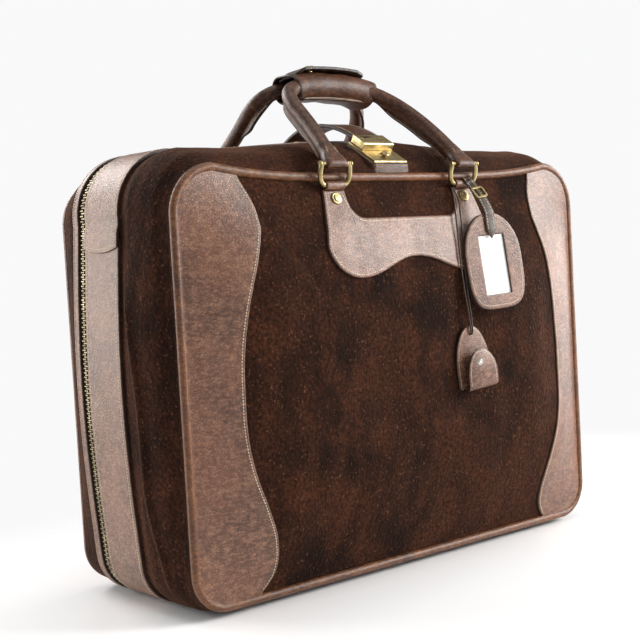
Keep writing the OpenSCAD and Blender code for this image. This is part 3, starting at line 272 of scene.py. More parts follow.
# Plain matt stock with a faint cloudiness, for thread, card and fibreboard.
def plainLook(name, color, shade, rough, sizeMm):
    look, tree, shader, place = startLook(name, {"Roughness": rough})
    setInputs(tree, shader, {"Base Color": tint(tree, cloud(tree, place, sizeMm, 0.3, 0.7), color, shade)})
    return look


suede = suedeLook()
hide = leatherLook("grainedHide", "#503020", "#7e513a", "#b08266", 0.45)
gripHide = leatherLook("handledGripHide", "#341c11", "#52301f", "#8a5f43", 0.42, 1.9, 0.3)
bandHide = leatherLook("zipBandHide", "#5a3c29", "#8a6047", "#ba8f75", 0.49)
darkHide = leatherLook("darkBridleHide", "#22150d", "#3b271a", "#5f4632", 0.38, 1.5, 0.35)
pipeHide = leatherLook("rubbedPipingHide", "#482918", "#784728", "#a57043", 0.4, 1.4, 0.4)
brass = metalLook("polishedBrass", "#bfae82", "#917e50", 0.32)
zipBrass = metalLook("stampedZipBrass", "#9c9072", "#5f5540", 0.46)
nickel = metalLook("polishedNickel", "#d9d6cf", "#a9a49a", 0.18)
tape = clothLook("wovenZipTape", "#26211e", "#0d0b0a", 6.785)
cotton = clothLook("liningCotton", "#c2aa86", "#8f7857", 5.552)
cardStock = plainLook("whiteCard", "#f6f6f3", "#ececea", 0.6, 20)
board = plainLook("pressedFibreboard", "#8a7250", "#75603f", 0.9, 6)
creamThread = plainLook("waxedCreamThread", "#e2d7c0", "#c2b295", 0.7, 3)
tanThread = plainLook("waxedTanThread", "#93806a", "#6d5a47", 0.7, 3)
print("materials ready")

# Case outline: x, z, outward normal and bulge, from the bottom right corner over the top to the left.
case = {"halfWidth": 291.5, "height": 430.0, "depth": 200.0, "topRadius": 51.0, "bottomRadius": 41.0,
        "topSag": 11.0, "dome": 29.0, "domeRun": 120.0, "pipe": 4.5, "wallStart": 4.316, "edge": 9.3, "seam": 6.0,
        "crownMid": 39.0, "crownEnd": 18.0, "bulgeTop": 7.0, "bulgeMid": 15.0, "bulgeLow": 5.0,
        "frontRamp": 75.0, "rearRamp": 50.0}
topHalf = case["halfWidth"] - case["topRadius"]
bottomHalf = case["halfWidth"] - case["bottomRadius"]
sideRun = case["height"] - case["topRadius"] - case["bottomRadius"]


def ramp(t):
    return np.sin(0.5 * np.pi * np.clip(t, 0, 1) ** 0.8)


def swell(y):
    start = case["wallStart"]
    front = ramp((y - start) / (case["frontRamp"] - start))
    return front * ramp((case["depth"] - y - start) / (case["rearRamp"] - start))


def topLine(x):
    return case["height"] - case["topSag"] * (1 - np.minimum(np.abs(x) / topHalf, 1) ** 4)


def outline(corner=16, side=70, top=120, bottom=60):
    t = np.arange(corner) / corner
    a, b = np.radians(90 * t - 90), np.radians(90 * t)
    low = np.c_[bottomHalf + case["bottomRadius"] * np.cos(a), case["bottomRadius"] * (1 + np.sin(a)),
                np.cos(a), np.sin(a), case["bulgeLow"] * t]
    high = np.c_[topHalf + case["topRadius"] * np.cos(b), case["height"] - case["topRadius"] * (1 - np.sin(b)),
                 np.cos(b), np.sin(b), mix(case["bulgeTop"], case["crownEnd"], t)]
    s = np.arange(side) / side
    middle = (case["bulgeLow"] + case["bulgeTop"]) / 2
    puff = mix(case["bulgeLow"], case["bulgeTop"], s) + (case["bulgeMid"] - middle) * np.sin(np.pi * s)
    flank = np.c_[0 * s + case["halfWidth"], case["bottomRadius"] + sideRun * s, 0 * s + 1, 0 * s, puff]
    right = np.concatenate([low, flank, high])
    x = topHalf * (1 - 2 * np.arange(top + 1) / top)
    crown = mix(case["crownEnd"], case["crownMid"], np.cos(0.5 * np.pi * np.abs(x) / topHalf))
    over = np.c_[x, topLine(x), 0 * x, 0 * x + 1, crown]
    left = right[::-1] * np.array([-1, 1, -1, 1, 1])
    f = bottomHalf * (2 * np.arange(1, bottom) / bottom - 1)
    foot = np.c_[f, 0 * f, 0 * f, 0 * f - 1, 0 * f]
    return np.concatenate([right, over, left, foot]), 2 * len(right) + top + 1


line, openCount = outline()
lineLength = lengths(line[:, :2])
openLength = lineLength[openCount - 1]


# Point of the case wall: along the outline, at depth y, lifted off the skin.
def onWall(along, y, lift):
    along, y, lift = np.broadcast_arrays(along, y, lift)
    x, z, nx, nz, bulge = (np.interp(along, lineLength, line[:, k]) for k in range(5))
    out = swell(y) * bulge + lift
    return spots(x + nx * out, y, z + nz * out)


def wallNormal(along, y):
    a = onWall(along + 0.5, y, 0.0) - onWall(along - 0.5, y, 0.0)
    b = onWall(along, y + 0.5, 0.0) - onWall(along, y - 0.5, 0.0)
    return unit(np.cross(b, a))


def rise(d):
    return np.sin(0.5 * np.pi * np.clip(d / case["domeRun"], 0, 1))


# Depth of a panel in front of its edge plane: dome, slack ripples and, on the front, the old diagonal crease.
slack = {"seed": {"front": 3, "rear": 8}, "broad": 1.3, "fine": 0.35, "creaseFrom": (-197.0, 378.0),
         "creaseRun": (71.0, -87.0), "creaseRidge": 1.1, "creaseHollow": 1.3}


def panelDepth(x, z, side):
    across = rise(case["halfWidth"] - case["edge"] - np.abs(x))
    upward = rise(np.minimum(z - case["edge"], topLine(x) - case["edge"] - z))
    depth = case["dome"] * across * upward
    fade = np.clip(depth / 20, 0, 1)
    seed = slack["seed"][side]
    ripple = slack["broad"] * softNoise(x, z, 150, seed) + slack["fine"] * softNoise(x, z, 45, seed + 1)
    depth = depth + fade * ripple
    if side == "front":
        (x0, z0), (dx, dz) = slack["creaseFrom"], slack["creaseRun"]
        reach = math.hypot(dx, dz)
        t = ((x - x0) * dx + (z - z0) * dz) / reach
        d = ((x - x0) * dz - (z - z0) * dx) / reach
        window = ease((t + 10) / 40) * ease((reach + 20 - t) / 60)
        crease = slack["creaseRidge"] * bell(d - 9, 9) - slack["creaseHollow"] * bell(d, 6)
        depth = depth + fade * window * crease
    return depth


def onPanel(x, z, lift, side):
    return spots(x, -panelDepth(x, z, side) - lift, z)


def panelNormal(x, z, side):
    dx = panelDepth(x + 1, z, side) - panelDepth(x - 1, z, side)
    dz = panelDepth(x, z + 1, side) - panelDepth(x, z - 1, side)
    return unit(spots(-dx / 2, -1.0, -dz / 2))


# The rear half is the front one turned half round.
def turnedWay(vectors, side):
    return vectors * np.array([-1, -1, 1]) if side == "rear" else vectors


def turned(points, side):
    return turnedWay(points, side) + np.array([0, case["depth"], 0]) * (side == "rear")


# Stitches: little rounded rods laid along rows of points, all of one seam in one mesh.
thread = {"pitch": 3.1, "length": 2.4, "width": 0.95, "height": 0.6, "slant": 6.0}
rodTurn = np.radians(60 * np.arange(6))
rod = np.concatenate([[[-1, 0, 0]]] + [np.c_[np.full(6, at), size * np.cos(rodTurn), size * np.sin(rodTurn)]
                                       for at, size in ((-0.75, 0.75), (0, 1), (0.75, 0.75))] + [[[1, 0, 0]]])
rodCaps = np.concatenate([fanFaces(1, 6, 0), fanFaces(13, 6, 19)[:, ::-1]])
rodSides = np.roll(gridFaces(3, 6, True)[:, ::-1] + 1, 1, axis=1)


# Rows are pairs of points and the way up, as one vector or one per point.
def stitchRows(name, rows, body, scale=1.0, look=creamThread):
    made = []
    for points, normals in rows:
        s = lengths(points)
        normals = np.broadcast_to(normals, points.shape)
        count = max(int(s[-1] / (thread["pitch"] * scale)), 2)
        at = (np.arange(count) + 0.5) * s[-1] / count
        centre, ahead, back, up = (spots(*(np.interp(q, s, v[:, k]) for k in range(3))) for q, v in
                                   ((at, points), (at + 0.8, points), (at - 0.8, points), (at, normals)))
        up = unit(up)
        tangent = unit(ahead - back)
        cross = unit(np.cross(up, tangent))
        tangent = unit(tangent + math.tan(math.radians(thread["slant"])) * cross)
        size = scale * np.array([thread["length"], thread["width"], thread["height"]]) / 2
        axes = np.stack([tangent, np.cross(up, tangent), up], 1)
        made.append(centre[:, None] + np.einsum("vk,nkd->nvd", rod * size, axes))
    verts = np.concatenate(made)
    base = len(rod) * np.arange(len(verts))[:, None, None]
    faces = [(base + rodCaps).reshape(-1, 3), (base + rodSides).reshape(-1, 4)]
    return addPiece(name, verts, faces, look, body)


# Sweep: point = path + u * side + v * up with up = side x tangent; counter-clockwise profiles face outwards.
def sweep(path, side, profile):
    tangent = unit(np.gradient(path, axis=0))
    up = unit(np.cross(np.broadcast_to(side, path.shape), tangent))
    side = np.cross(tangent, up)
    profile = np.broadcast_to(profile, (len(path),) + np.shape(profile)[-2:])
    verts = path[:, None] + profile[..., :1] * side[:, None] + profile[..., 1:] * up[:, None]
    n, k = verts.shape[:2]
    flat = np.concatenate([verts.reshape(-1, 3), verts[0].mean(0)[None], verts[-1].mean(0)[None]])
    caps = np.concatenate([fanFaces(0, k, n * k), fanFaces((n - 1) * k, k, n * k + 1)[:, ::-1]])
    return flat, [gridFaces(n, k, True)[:, ::-1], caps], up


# Rounded slab profiles, one per station: half widths, one thickness, corner radius.
def slabProfile(halfWidth, thick, radius, steps=4):
    a = np.radians(np.concatenate([np.linspace(q, q + 90, steps) for q in (-90, 0, 90, 180)]))
    sx = np.repeat([1, 1, -1, -1], steps)
    sy = np.repeat([-1, 1, 1, -1], steps)
    w = np.maximum(halfWidth[:, None] - radius, 0)
    u = sx * w + np.minimum(halfWidth[:, None], radius) * np.cos(a)
    return spots(u, sy * (thick / 2 - radius) + radius * np.sin(a))


# Strap swept along a path; rim is the mark on its two narrow sides.
def slabPiece(name, path, side, halfWidth, thick, radius, look, body, node, rim=0.0):
    verts, faces, up = sweep(path, side, slabProfile(halfWidth, thick, radius))
    edge = np.tile(rim * np.repeat([0, 1, 0, 1, 0], [1, 6, 2, 6, 1]), len(path))
    return addPiece(name, verts, faces, look, body, node, edge=np.r_[edge, 0, 0]), up


# Smooth line through points, Catmull-Rom.
def through(points, count):
    p = np.asarray(points, float)
    p = np.concatenate([[2 * p[0] - p[1]], p, [2 * p[-1] - p[-2]]])
    t = np.linspace(0, len(points) - 1, count)
    k = np.minimum(t.astype(int), len(points) - 2)
    f = (t - k)[:, None]
    a, b, c, d = p[k], p[k + 1], p[k + 2], p[k + 3]
    return 0.5 * (2 * b + (c - a) * f + (2 * a - 5 * b + 4 * c - d) * f ** 2 + (3 * b - a - 3 * c + d) * f ** 3)


# Shortest distance from points (n, 2) to a closed polyline (m, 2).
def toLoop(points, loop):
    best = np.full(len(points), 1e9)
    for p, q in zip(loop, np.roll(loop, -1, 0)):
        d = q - p
        t = np.clip((points - p) @ d / max(d @ d, 1e-12), 0, 1)
        best = np.minimum(best, np.hypot(*(points - p - t[:, None] * d).T))
    return best


# Loop moved inwards by d, with the points that come too near another part of the edge left out.
def inset(loop, d):
    t = unit(np.roll(loop, -2, 0) - np.roll(loop, 2, 0))
    area = np.sum(loop[:, 0] * np.roll(loop[:, 1], -1) - np.roll(loop[:, 0], -1) * loop[:, 1])
    moved = loop + np.sign(area) * d * np.c_[-t[:, 1], t[:, 0]]
    return moved[toLoop(moved, loop) > d * 0.93]


# Rectangle with rounded corners, from (x0, y0) to (x1, y1).
def roundLoop(x0, x1, y0, y1, r):
    a = np.radians(np.linspace(0, 90, 7))
    corners = ((x1 - r, y1 - r, 0), (x0 + r, y1 - r, 90), (x0 + r, y0 + r, 180), (x1 - r, y0 + r, 270))
    return np.concatenate([np.c_[cx + r * np.cos(a + math.radians(q)), cy + r * np.sin(a + math.radians(q))]
                           for cx, cy, q in corners])


# Side panels, handle patches and their ear loops; sew is the distance of the stitches from the edge, and a dark
# line of painted shade along the stitches stands for the shade of a stitch groove.
wing = {"top": 78.0, "high": 92.5, "waist": 60.7, "low": 94.5, "foot": 76.0, "highAt": 372.0, "waistAt": 205.0,
        "lowAt": 42.0, "thick": 2.4, "round": 1.5, "grooveShade": 4.2, "sew": 3.6}
patch = {"half": 121.0, "side": 346.0, "top": 372.0, "lobe": 310.0, "arch": 329.0, "lobeAt": 80.0, "earIn": 80.0,
         "earOut": 109.0, "earTop": 402.0, "fillet": 18.0, "thick": 3.1, "round": 1.6, "grooveShade": 0.0, "sew": 3.8}
ear = {"x": 94.5, "y": -8.0, "z": 406.0, "half": 12.4, "radius": 4.4}


# Leather lying on a panel: columns run from a low to a high edge; height over the panel from the edge distance.
def panelSheet(name, low, high, sheet, node, side):
    near = np.array([0, 0.12, 0.4, 0.9, 1.6, 2.6])
    reach = np.hypot(*(high - low).T)[:, None]
    first, last = np.minimum(4, reach * 0.48), np.maximum(reach - 4.8, reach * 0.52)
    rim = np.minimum(near, reach * 0.45)
    seam = np.minimum([4.1, 3.6, 3.1], reach * np.array([0.475, 0.465, 0.455]))
    field = mix(first, last, np.linspace(0, 1, 36))
    steps = np.concatenate([rim, field, reach - seam, (reach - rim)[:, ::-1]], 1)
    flat = low[:, None] + (steps / np.maximum(reach, 1e-6))[..., None] * (high - low)[:, None]
    loop = np.concatenate([low, high[::-1]])
    d = toLoop(flat.reshape(-1, 2), loop).reshape(steps.shape)
    lift = sheet["thick"] * np.sqrt(1 - (1 - np.clip(d / sheet["round"], 0, 1)) ** 2) - 0.3 * (d < 0.02)
    verts = turned(onPanel(flat[..., 0], flat[..., 1], lift, side), side)
    # Edge mark: the dark cut edge, plus painted shade as a dark line along the stitch row, where the sheet has no
    # groove of its own.
    edge = np.clip(1.1 - d / 0.9 + sheet["grooveShade"] * bell(reach - steps - sheet["sew"], 0.4), 0, 1)
    addPiece(name, verts, [gridFaces(*steps.shape)], hide, bodyOf[side], node, caseMiddle, edge=edge)
    return loop


def wingWidth(z):
    w = wing
    spans = ((w["high"], w["top"], w["highAt"], case["height"], 1.5),
             (w["high"], w["waist"], w["highAt"], w["waistAt"], 0.62),
             (w["waist"], w["low"], w["waistAt"], w["lowAt"], 1.5), (w["low"], w["foot"], w["lowAt"], 0.0, 1.5))
    widths = [mix(a, b, ease(np.clip((z - start) / (stop - start), 0, 1) ** power))
              for a, b, start, stop, power in spans]
    return np.select([z > w["highAt"], z > w["waistAt"], z > w["lowAt"]], widths[:3], widths[3])


def wingEdge(z):
    low, high = case["bottomRadius"] - z, z - case["height"] + case["topRadius"]
    r = np.where(high > 0, case["topRadius"], case["bottomRadius"]) - case["seam"]
    d = np.minimum(np.maximum(np.maximum(low, high), 0), r - 0.5)
    return case["halfWidth"] - case["seam"] - (r - np.sqrt(r * r - d * d))


def patchLow(x):
    bow = np.sqrt(np.maximum(1 - ((x - patch["lobeAt"]) / (patch["half"] - patch["lobeAt"])) ** 2, 0))
    return np.where(x < patch["lobeAt"], mix(patch["arch"], patch["lobe"], ease(x / patch["lobeAt"])),
                    patch["side"] - (patch["side"] - patch["lobe"]) * bow)


def patchHigh(x):
    f = patch["fillet"]
    bow = patch["top"] + f - np.sqrt(np.maximum(f * f - (x - patch["earIn"] + 1 + f) ** 2, 0))
    slant = mix(patch["earTop"], patch["side"], (x - patch["earOut"]) / (patch["half"] - patch["earOut"]))
    return np.select([x < patch["earIn"] - 1 - f, x < patch["earIn"] - 0.5, x < patch["earOut"]],
                     [patch["top"], bow, patch["earTop"]], slant)


# Rows of points from a loop in to the middle of a panel, with their faces.
def disc(loop, rows):
    n = len(loop)
    flat = panelMiddle + np.linspace(1, 0, rows + 1)[:-1, None, None] * (loop - panelMiddle)
    flat = np.concatenate([flat.reshape(-1, 2), panelMiddle[None]])
    return flat, [gridFaces(rows, n, True), fanFaces((rows - 1) * n, n, rows * n)]


def buildPanel(side):
    flat, faces = disc(line[:, :2] - case["seam"] * line[:, 2:4], 75)
    piece = addPiece(side + "SuedePanel", turned(onPanel(*flat.T, 0.0, side), side), faces, suede, bodyOf[side],
                     side + "_panel", caseMiddle)


# The rows and columns of these sheets lie close together where an edge or an ear begins.
def buildSheets(side):
    seam, limit = case["seam"], case["height"] - case["seam"]
    z = np.concatenate([[6.0, 6.15, 6.5, 7.2, 8.4], np.linspace(10, limit - 4, 150),
                        limit - np.array([2.4, 1.2, 0.5, 0.15, 0])])
    stitches = []
    for flip in (-1, 1):
        low, high = (np.c_[flip * x, seam + (z - seam) * (topLine(x) - 2 * seam) / (limit - seam)]
                     for x in (wingEdge(z), case["halfWidth"] - wingWidth(z)))
        hand = "Left" if (flip < 0) != (side == "rear") else "Right"
        panelSheet(side + hand + "SidePanel", low, high, wing, side + "_side_panels", side)
        stitches.append((high[6:-6] + np.array([flip * wing["sew"], 0]), wing["thick"]))
    f = np.concatenate([np.linspace(0, 60, 31), np.linspace(61, 79.4, 20), [79.5, 79.62, 80, 80.5, 81.4],
                        np.linspace(83, 106, 14), [107.4, 108.3, 108.8, 109],
                        109 + 12 * np.sin(np.radians(np.linspace(4, 90, 24)))])
    x = np.r_[-f[:0:-1], f]
    low = patchLow(np.abs(x))
    loop = panelSheet(side + "HandlePatch", np.c_[x, low], np.c_[x, np.maximum(patchHigh(np.abs(x)), low)], patch,
                      side + "_handle_patch", side)
    stitches.append((closed(inset(loop, patch["sew"])), patch["thick"]))
    rows = [(turned(onPanel(*row.T, thick + 0.05, side), side), turnedWay(panelNormal(*row.T, side), side))
            for row, thick in stitches]
    stitchRows(side + "PanelStitches", rows, bodyOf[side])


# Ear loops: the patch's leather turned round the ring's lower bar.
def buildEarLoops(side):
    a = np.radians(np.linspace(-60, 300, 49))
    x = ear["half"] - np.array([0, 0.1, 0.6, 1.4])
    r = ear["radius"] - np.array([0.8, 0.4, 0.1, 0])
    x, r = np.r_[-x, 0, x[::-1]][:, None], np.r_[r, ear["radius"], r[::-1]][:, None]
    for flip in (-1, 1):
        verts = spots(flip * ear["x"] + x, ear["y"] - r * np.sin(a), ear["z"] + r * np.cos(a))
        middle = np.array([flip * ear["x"], ear["y"], ear["z"]])
        addPiece(side + "EarLoop" + ends[flip], turned(verts, side), [gridFaces(*verts.shape[:2])], hide,
                 bodyOf[side], None, turned(middle, side))


# Piping: a round cord in worn leather with one lapped joint on the bottom.
def buildPiping(side):
    turn = np.radians(22.5 * np.arange(16))
    joint = np.exp(-((line[:, 0] + 16) / 5) ** 8) * (line[:, 1] < 1)
    wear = 0.02 * softNoise(lineLength, 0 * lineLength, 60, slack["seed"][side] + 5)
    size = (case["pipe"] * (1 + wear) + 0.35 * joint)[:, None]
    c = size * np.cos(turn) - case["pipe"]
    verts = spots(line[:, :1] + line[:, 2:3] * c, size * np.sin(turn) + case["depth"] * (side == "rear"),
                  line[:, 1:2] + line[:, 3:4] * c)
    addPiece(side + "Piping", verts, [gridFaces(len(line), 16, True, True)], pipeHide, bodyOf[side],
             side + "_piping", edge=np.repeat(0.7 * joint, 16), solid=True)


for side in ("front", "rear"):
    buildPanel(side)
    buildSheets(side)
    buildEarLoops(side)
    buildPiping(side)
print("panels, patches and piping ready")

# Suede walls: slack waves and, on the front, a soft ridge, a puff that ends at the lock, and a pleat by the tag.
gusset = {"fold": 0.15, "wave": 0.9, "ridge": 3.0, "ridgeHalf": 4.2, "ridgeAt": 48.5, "puff": 2.4, "tuck": 1.0,
          "pleat": 2.6, "lockHalf": 42.0}


def suedeWall(side, depths, seed):
    y = depths[:, None]
    x, up = line[:, 0], line[:, 1]
    fade = ease((y - 6) / 16) * ease((case["depth"] - 6 - y) / 16) * ease((72 - y) / 14 + (y > 140) * 9)
    folds = np.sin(2 * np.pi * (y / 21 + 0.35 * softNoise(lineLength, 0 * lineLength, 260, seed)))
    lift = fade * (gusset["fold"] * folds + gusset["wave"] * softNoise(lineLength, y, 110, seed + 1))
    if side == "front":
        pleat = bell(x - 88 - 0.25 * (y - 30), 6) * bell(y - 30, 20) * (up > 300)
        ridgeAt = gusset["ridgeAt"] + 18 * ease((up - 200) / 150) - 17 * ease((130 - up) / 120)
        ridge = bell(y - ridgeAt, gusset["ridgeHalf"]) * ease((up - 8) / 40) * ease((345 - up) / 60)
        plain = 1 - np.exp(-(x / gusset["lockHalf"]) ** 8) * (up > 300)
        puff = gusset["puff"] * plain * ease((y - 8) / 16) * ease((69 - y) / 13)
        lift = lift + gusset["ridge"] * ridge + puff - gusset["tuck"] * bell(y - 72, 3) - gusset["pleat"] * pleat
    addPiece(side + "SuedeGusset", onWall(lineLength, y, lift), [gridFaces(len(depths), len(line), True)],
             suede, bodyOf[side], side + "_gusset", caseMiddle)


suedeWall("front", np.r_[np.linspace(2.0, 20, 16), np.linspace(22, 90, 40)], 21)
suedeWall("rear", np.r_[np.linspace(156, 180, 20), np.linspace(181.5, 198, 14)], 27)

# Leather bands beside the zip: side pieces, a top piece lapped over them with bowed ends, one narrow rear piece.
zipLine = {"at": 145.0, "bandFrom": 75.0, "bandTo": 138.0, "rearFrom": 152.0, "rearTo": 163.0, "skip": 10.3,
           "lap": np.pi / 2 * case["bottomRadius"] + 313.8, "lapLift": 1.9, "bow": 5.0, "sew": 4.2, "thick": 2.2,
           "gap": 0.3}


# Band on the wall from y0 to y1 with rounded edges, darkened partly as painted shade, and painted shade lines at
# the seams;
# its ends bow out by bow and rise by lift(distance from the end).
def wallBand(name, start, stop, y0, y1, body, node, look, lift=None, bow=0.0, thick=zipLine["thick"], seams=()):
    near = np.array([0, 0, 0.1, 0.35, 0.9])
    up = np.array([-0.4, 0.55, 0.8, 0.96, 1.0])
    inner = np.linspace(1.8, y1 - y0 - 1.8, max(int((y1 - y0) / 4), 4))
    for s in seams:
        inner = np.sort(np.r_[inner[np.abs(inner + y0 - s) > 1.6], s - y0 + np.array([-1.1, -0.5, 0, 0.5, 1.1])])
    y = (y0 + np.r_[near, inner, (y1 - y0 - near)[::-1]])[:, None]
    sideUp = np.r_[up, 0 * inner + 1, up[::-1]][:, None]
    grooveShade = sum((bell(y - s, 0.45) for s in seams), 0 * y)
    reach = bow * (1 - ((y - (y0 + y1) / 2) / ((y1 - y0) / 2)) ** 2)
    t = np.linspace(0, 1, max(int((stop - start) / 4), 12))
    tip = np.array([0, 0, 0.1, 0.4, 1.0])
    along = np.concatenate([start - reach + tip, mix(start - reach + 2, stop + reach - 2, t),
                            stop + reach - tip[::-1]], 1)
    height = np.minimum(sideUp, np.r_[up, 0 * t + 1, up[::-1]])
    # Dark mark: the cut edge on the rounded sides, pushed darker as painted shade of the gap beside the band, and
    # painted shade lines at the stitch seams.
    edge = np.clip(1.2 - height * 1.2, 0, 1) * 1.6 + 0.7 * grooveShade
    height = zipLine["gap"] + thick * height
    if lift:
        height = height + lift(np.minimum(along - start, stop - along))
    addPiece(name, onWall(along, y, height), [gridFaces(*along.shape)], look, body, node, caseMiddle,
             edge=np.clip(edge, 0, 1))


def wallRow(along, y, lift):
    along, y = np.broadcast_arrays(np.asarray(along, float), np.asarray(y, float))
    return onWall(along, y, lift), wallNormal(along, y)


def lapLift(d):
    return zipLine["lapLift"] * ease((24 - d) / 12)


lap, skip, sew = zipLine["lap"], zipLine["skip"], zipLine["sew"]
farLap, farEnd = openLength - lap, openLength - skip
bandFrom, bandTo = zipLine["bandFrom"], zipLine["bandTo"]
bandSeams = (bandFrom + sew, bandTo - sew)
onBand = zipLine["gap"] + zipLine["thick"] + 0.05
for name, start, stop, node, lift, bow in (("rightZipBand", skip, lap + 8, "zip_band_sides", None, 0.0),
                                           ("leftZipBand", farLap - 8, farEnd, "zip_band_sides", None, 0.0),
                                           ("topZipBand", lap, farLap, "zip_band_top", lapLift, zipLine["bow"])):
    wallBand(name, start, stop, bandFrom, bandTo, "base", node, bandHide, lift, bow, seams=bandSeams)
rows = []
for y in bandSeams:
    for a, b in ((skip + 3, lap - 5), (farLap + 5, farEnd - 3)):
        rows.append(wallRow(np.arange(a, b, 2.0), y, onBand))
    s = np.arange(lap + 2, farLap - 2, 2.0)
    rows.append(wallRow(s, y, onBand + lapLift(np.minimum(s - lap, farLap - s))))
y = np.linspace(bandFrom + 5, bandTo - 5, 40)
bowed = zipLine["bow"] * (1 - ((y - (bandFrom + bandTo) / 2) / ((bandTo - bandFrom) / 2)) ** 2)
for s in (lap - bowed + sew, farLap + bowed - sew):
    rows.append(wallRow(s, y, onBand + zipLine["lapLift"]))
stitchRows("zipBandStitches", rows, "base")
wallBand("rearZipBand", skip, farEnd, zipLine["rearFrom"], zipLine["rearTo"], "lid", "zip_band_rear", bandHide)
rows = [wallRow(np.arange(skip + 3, farEnd - 3, 2.0), zipLine["rearTo"] - 3, onBand)]
stitchRows("rearBandStitches", rows, "lid", 0.9, tanThread)

s = np.linspace(skip, farEnd, 420)
for side, y0, y1 in (("front", 126.0, 142.6), ("rear", 147.4, 157.6)):
    addPiece(side + "ZipTape", onWall(s, np.linspace(y0, y1, 8)[:, None], -0.2), [gridFaces(8, len(s))], tape,
             bodyOf[side], "zip_tape_" + side, caseMiddle)

# Teeth: stamped brass, a shank with a wider head; each row reaches past the middle and the rows alternate.
teeth = {"pitch": 4.6, "tail": 4.4, "head": 1.5, "neck": 0.75, "wide": 1.05, "low": -1.7, "high": 1.1,
         "chamfer": 0.3, "chamferHigh": 0.35, "lift": -0.4, "sliderHalf": 9.5}
neck, wide, tail, head = teeth["neck"], teeth["wide"], -teeth["tail"], teeth["head"]
halfPlan = np.array([(neck, tail), (neck, -0.3), (wide, 0.2), (wide, head - 0.4), (neck, head)])
plan = np.concatenate([halfPlan[:1] * [-1, 1], halfPlan, halfPlan[:0:-1] * [-1, 1]])
small = plan * np.array([1 - teeth["chamfer"], 1 - teeth["chamfer"] / 4])
tooth = np.concatenate([np.c_[q, np.full(10, h)] for q, h in (
    (plan, teeth["low"]), (plan, teeth["high"] - teeth["chamferHigh"]), (small, teeth["high"]))])
for side, flip in (("front", 1), ("rear", -1)):
    at = np.arange(skip + 4 + (0.5 + 0.25 * flip) * teeth["pitch"], farEnd - 4, teeth["pitch"])
    centre = onWall(at, zipLine["at"], teeth["lift"])
    keep = (np.abs(centre[:, 0]) > teeth["sliderHalf"]) | (centre[:, 2] < 300)
    at, centre = at[keep], centre[keep]
    ahead = unit(onWall(at + 0.5, zipLine["at"], 0.0) - onWall(at - 0.5, zipLine["at"], 0.0))
    axes = np.stack([ahead, np.broadcast_to([0, flip, 0], ahead.shape), wallNormal(at, zipLine["at"])], 1)
    verts = centre[:, None] + np.einsum("vk,nkd->nvd", tooth, axes)
    base = len(tooth) * np.arange(len(at))[:, None, None]
    faces = [(base + gridFaces(3, 10, True)).reshape(-1, 4), (base + np.arange(20, 30)).reshape(-1, 10)]
    addPiece(side + "ZipTeeth", verts, faces, zipBrass, bodyOf[side], "zip_teeth_" + side, sharp=35, solid=True)

# Hinge: one flat strip under the bottom; the lid turns about its middle.
hinge = {"from": 111.0, "to": 171.0, "z": -2.5}
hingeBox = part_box("hinge_strip")
x = np.linspace(hingeBox[0][0] * 1000, hingeBox[1][0] * 1000, 60)
y = np.r_[hinge["from"] + np.array([0, 0, 0.3]), np.linspace(hinge["from"] + 1, hinge["to"] - 1, 40),
          hinge["to"] - np.array([0.3, 0, 0])]
rim = hinge["z"] + np.array([2.2, 0.9, 0.2])
z = np.r_[rim, np.full(40, hinge["z"]), rim[::-1]]
strip = addPiece("hingeStrip", spots(x, y[:, None], z[:, None]), [gridFaces(len(y), len(x))], bandHide, None,
                 "hinge_strip", caseMiddle)
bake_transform(strip)


# Lining: a cotton tray inside each half, its floor laid on the board.
def lining(body, y0, y1, floor):
    wall = onWall(lineLength, np.linspace(y0, y1, 24)[:, None], -7.4)
    flat, faces = disc((wall[0] if floor < y1 else wall[-1])[:, [0, 2]], 13)
    addPiece(body + "LiningWalls", wall, [gridFaces(*wall.shape[:2], True)], cotton, body, body + "_lining",
             caseMiddle, True)
    addPiece(body + "LiningFloor", spots(flat[:, 0], floor, flat[:, 1]), faces, cotton, body, body + "_lining",
             caseMiddle, True)


lining("base", 8.2, 137.6, 8.2)
lining("lid", 152.4, 191.8, 191.8)
print("walls, bands, zip tapes and lining ready")

# Handles: a rolled grip with a stitched flange along its underside; its line is slack and leans left with use.
grip = {"pinY": -12.198, "pinZ": 427.596, "lean": math.radians(46.9), "start": 24.0, "radius": 8.3, "flange": 5.4,
        "flangeMore": 2.8, "flangeHalf": 1.7, "inset": 1.5, "rearBare": 66.0, "sleeveDeep": 5.62,
        "sleeveHalf": 13.5}
gripLine = through([(-93, 24), (-89.5, 45), (-87, 66), (-86, 86), (-85.5, 100), (-82.5, 112.5), (-75, 124),
                    (-62, 132.3), (-40, 136.8), (-12, 138.2), (15, 136.8), (38, 132.6), (54, 125), (66, 114),
                    (75, 101), (82, 86), (87.5, 68), (91.3, 46), (93, 24)], 190)
gripSide = np.array([0, math.cos(grip["lean"]), -math.sin(grip["lean"])])
wrap = {"left": -62.0, "right": 50.0, "y": 100.0, "outer": 15.2, "inner": 13.2, "off": 8.8}


# Point of a handle: x, across its plane and up from the ring's pin.
def inHandle(x, w, h):
    c, s = math.cos(grip["lean"]), math.sin(grip["lean"])
    return spots(x, grip["pinY"] + w * c + h * s, grip["pinZ"] - w * s + h * c)


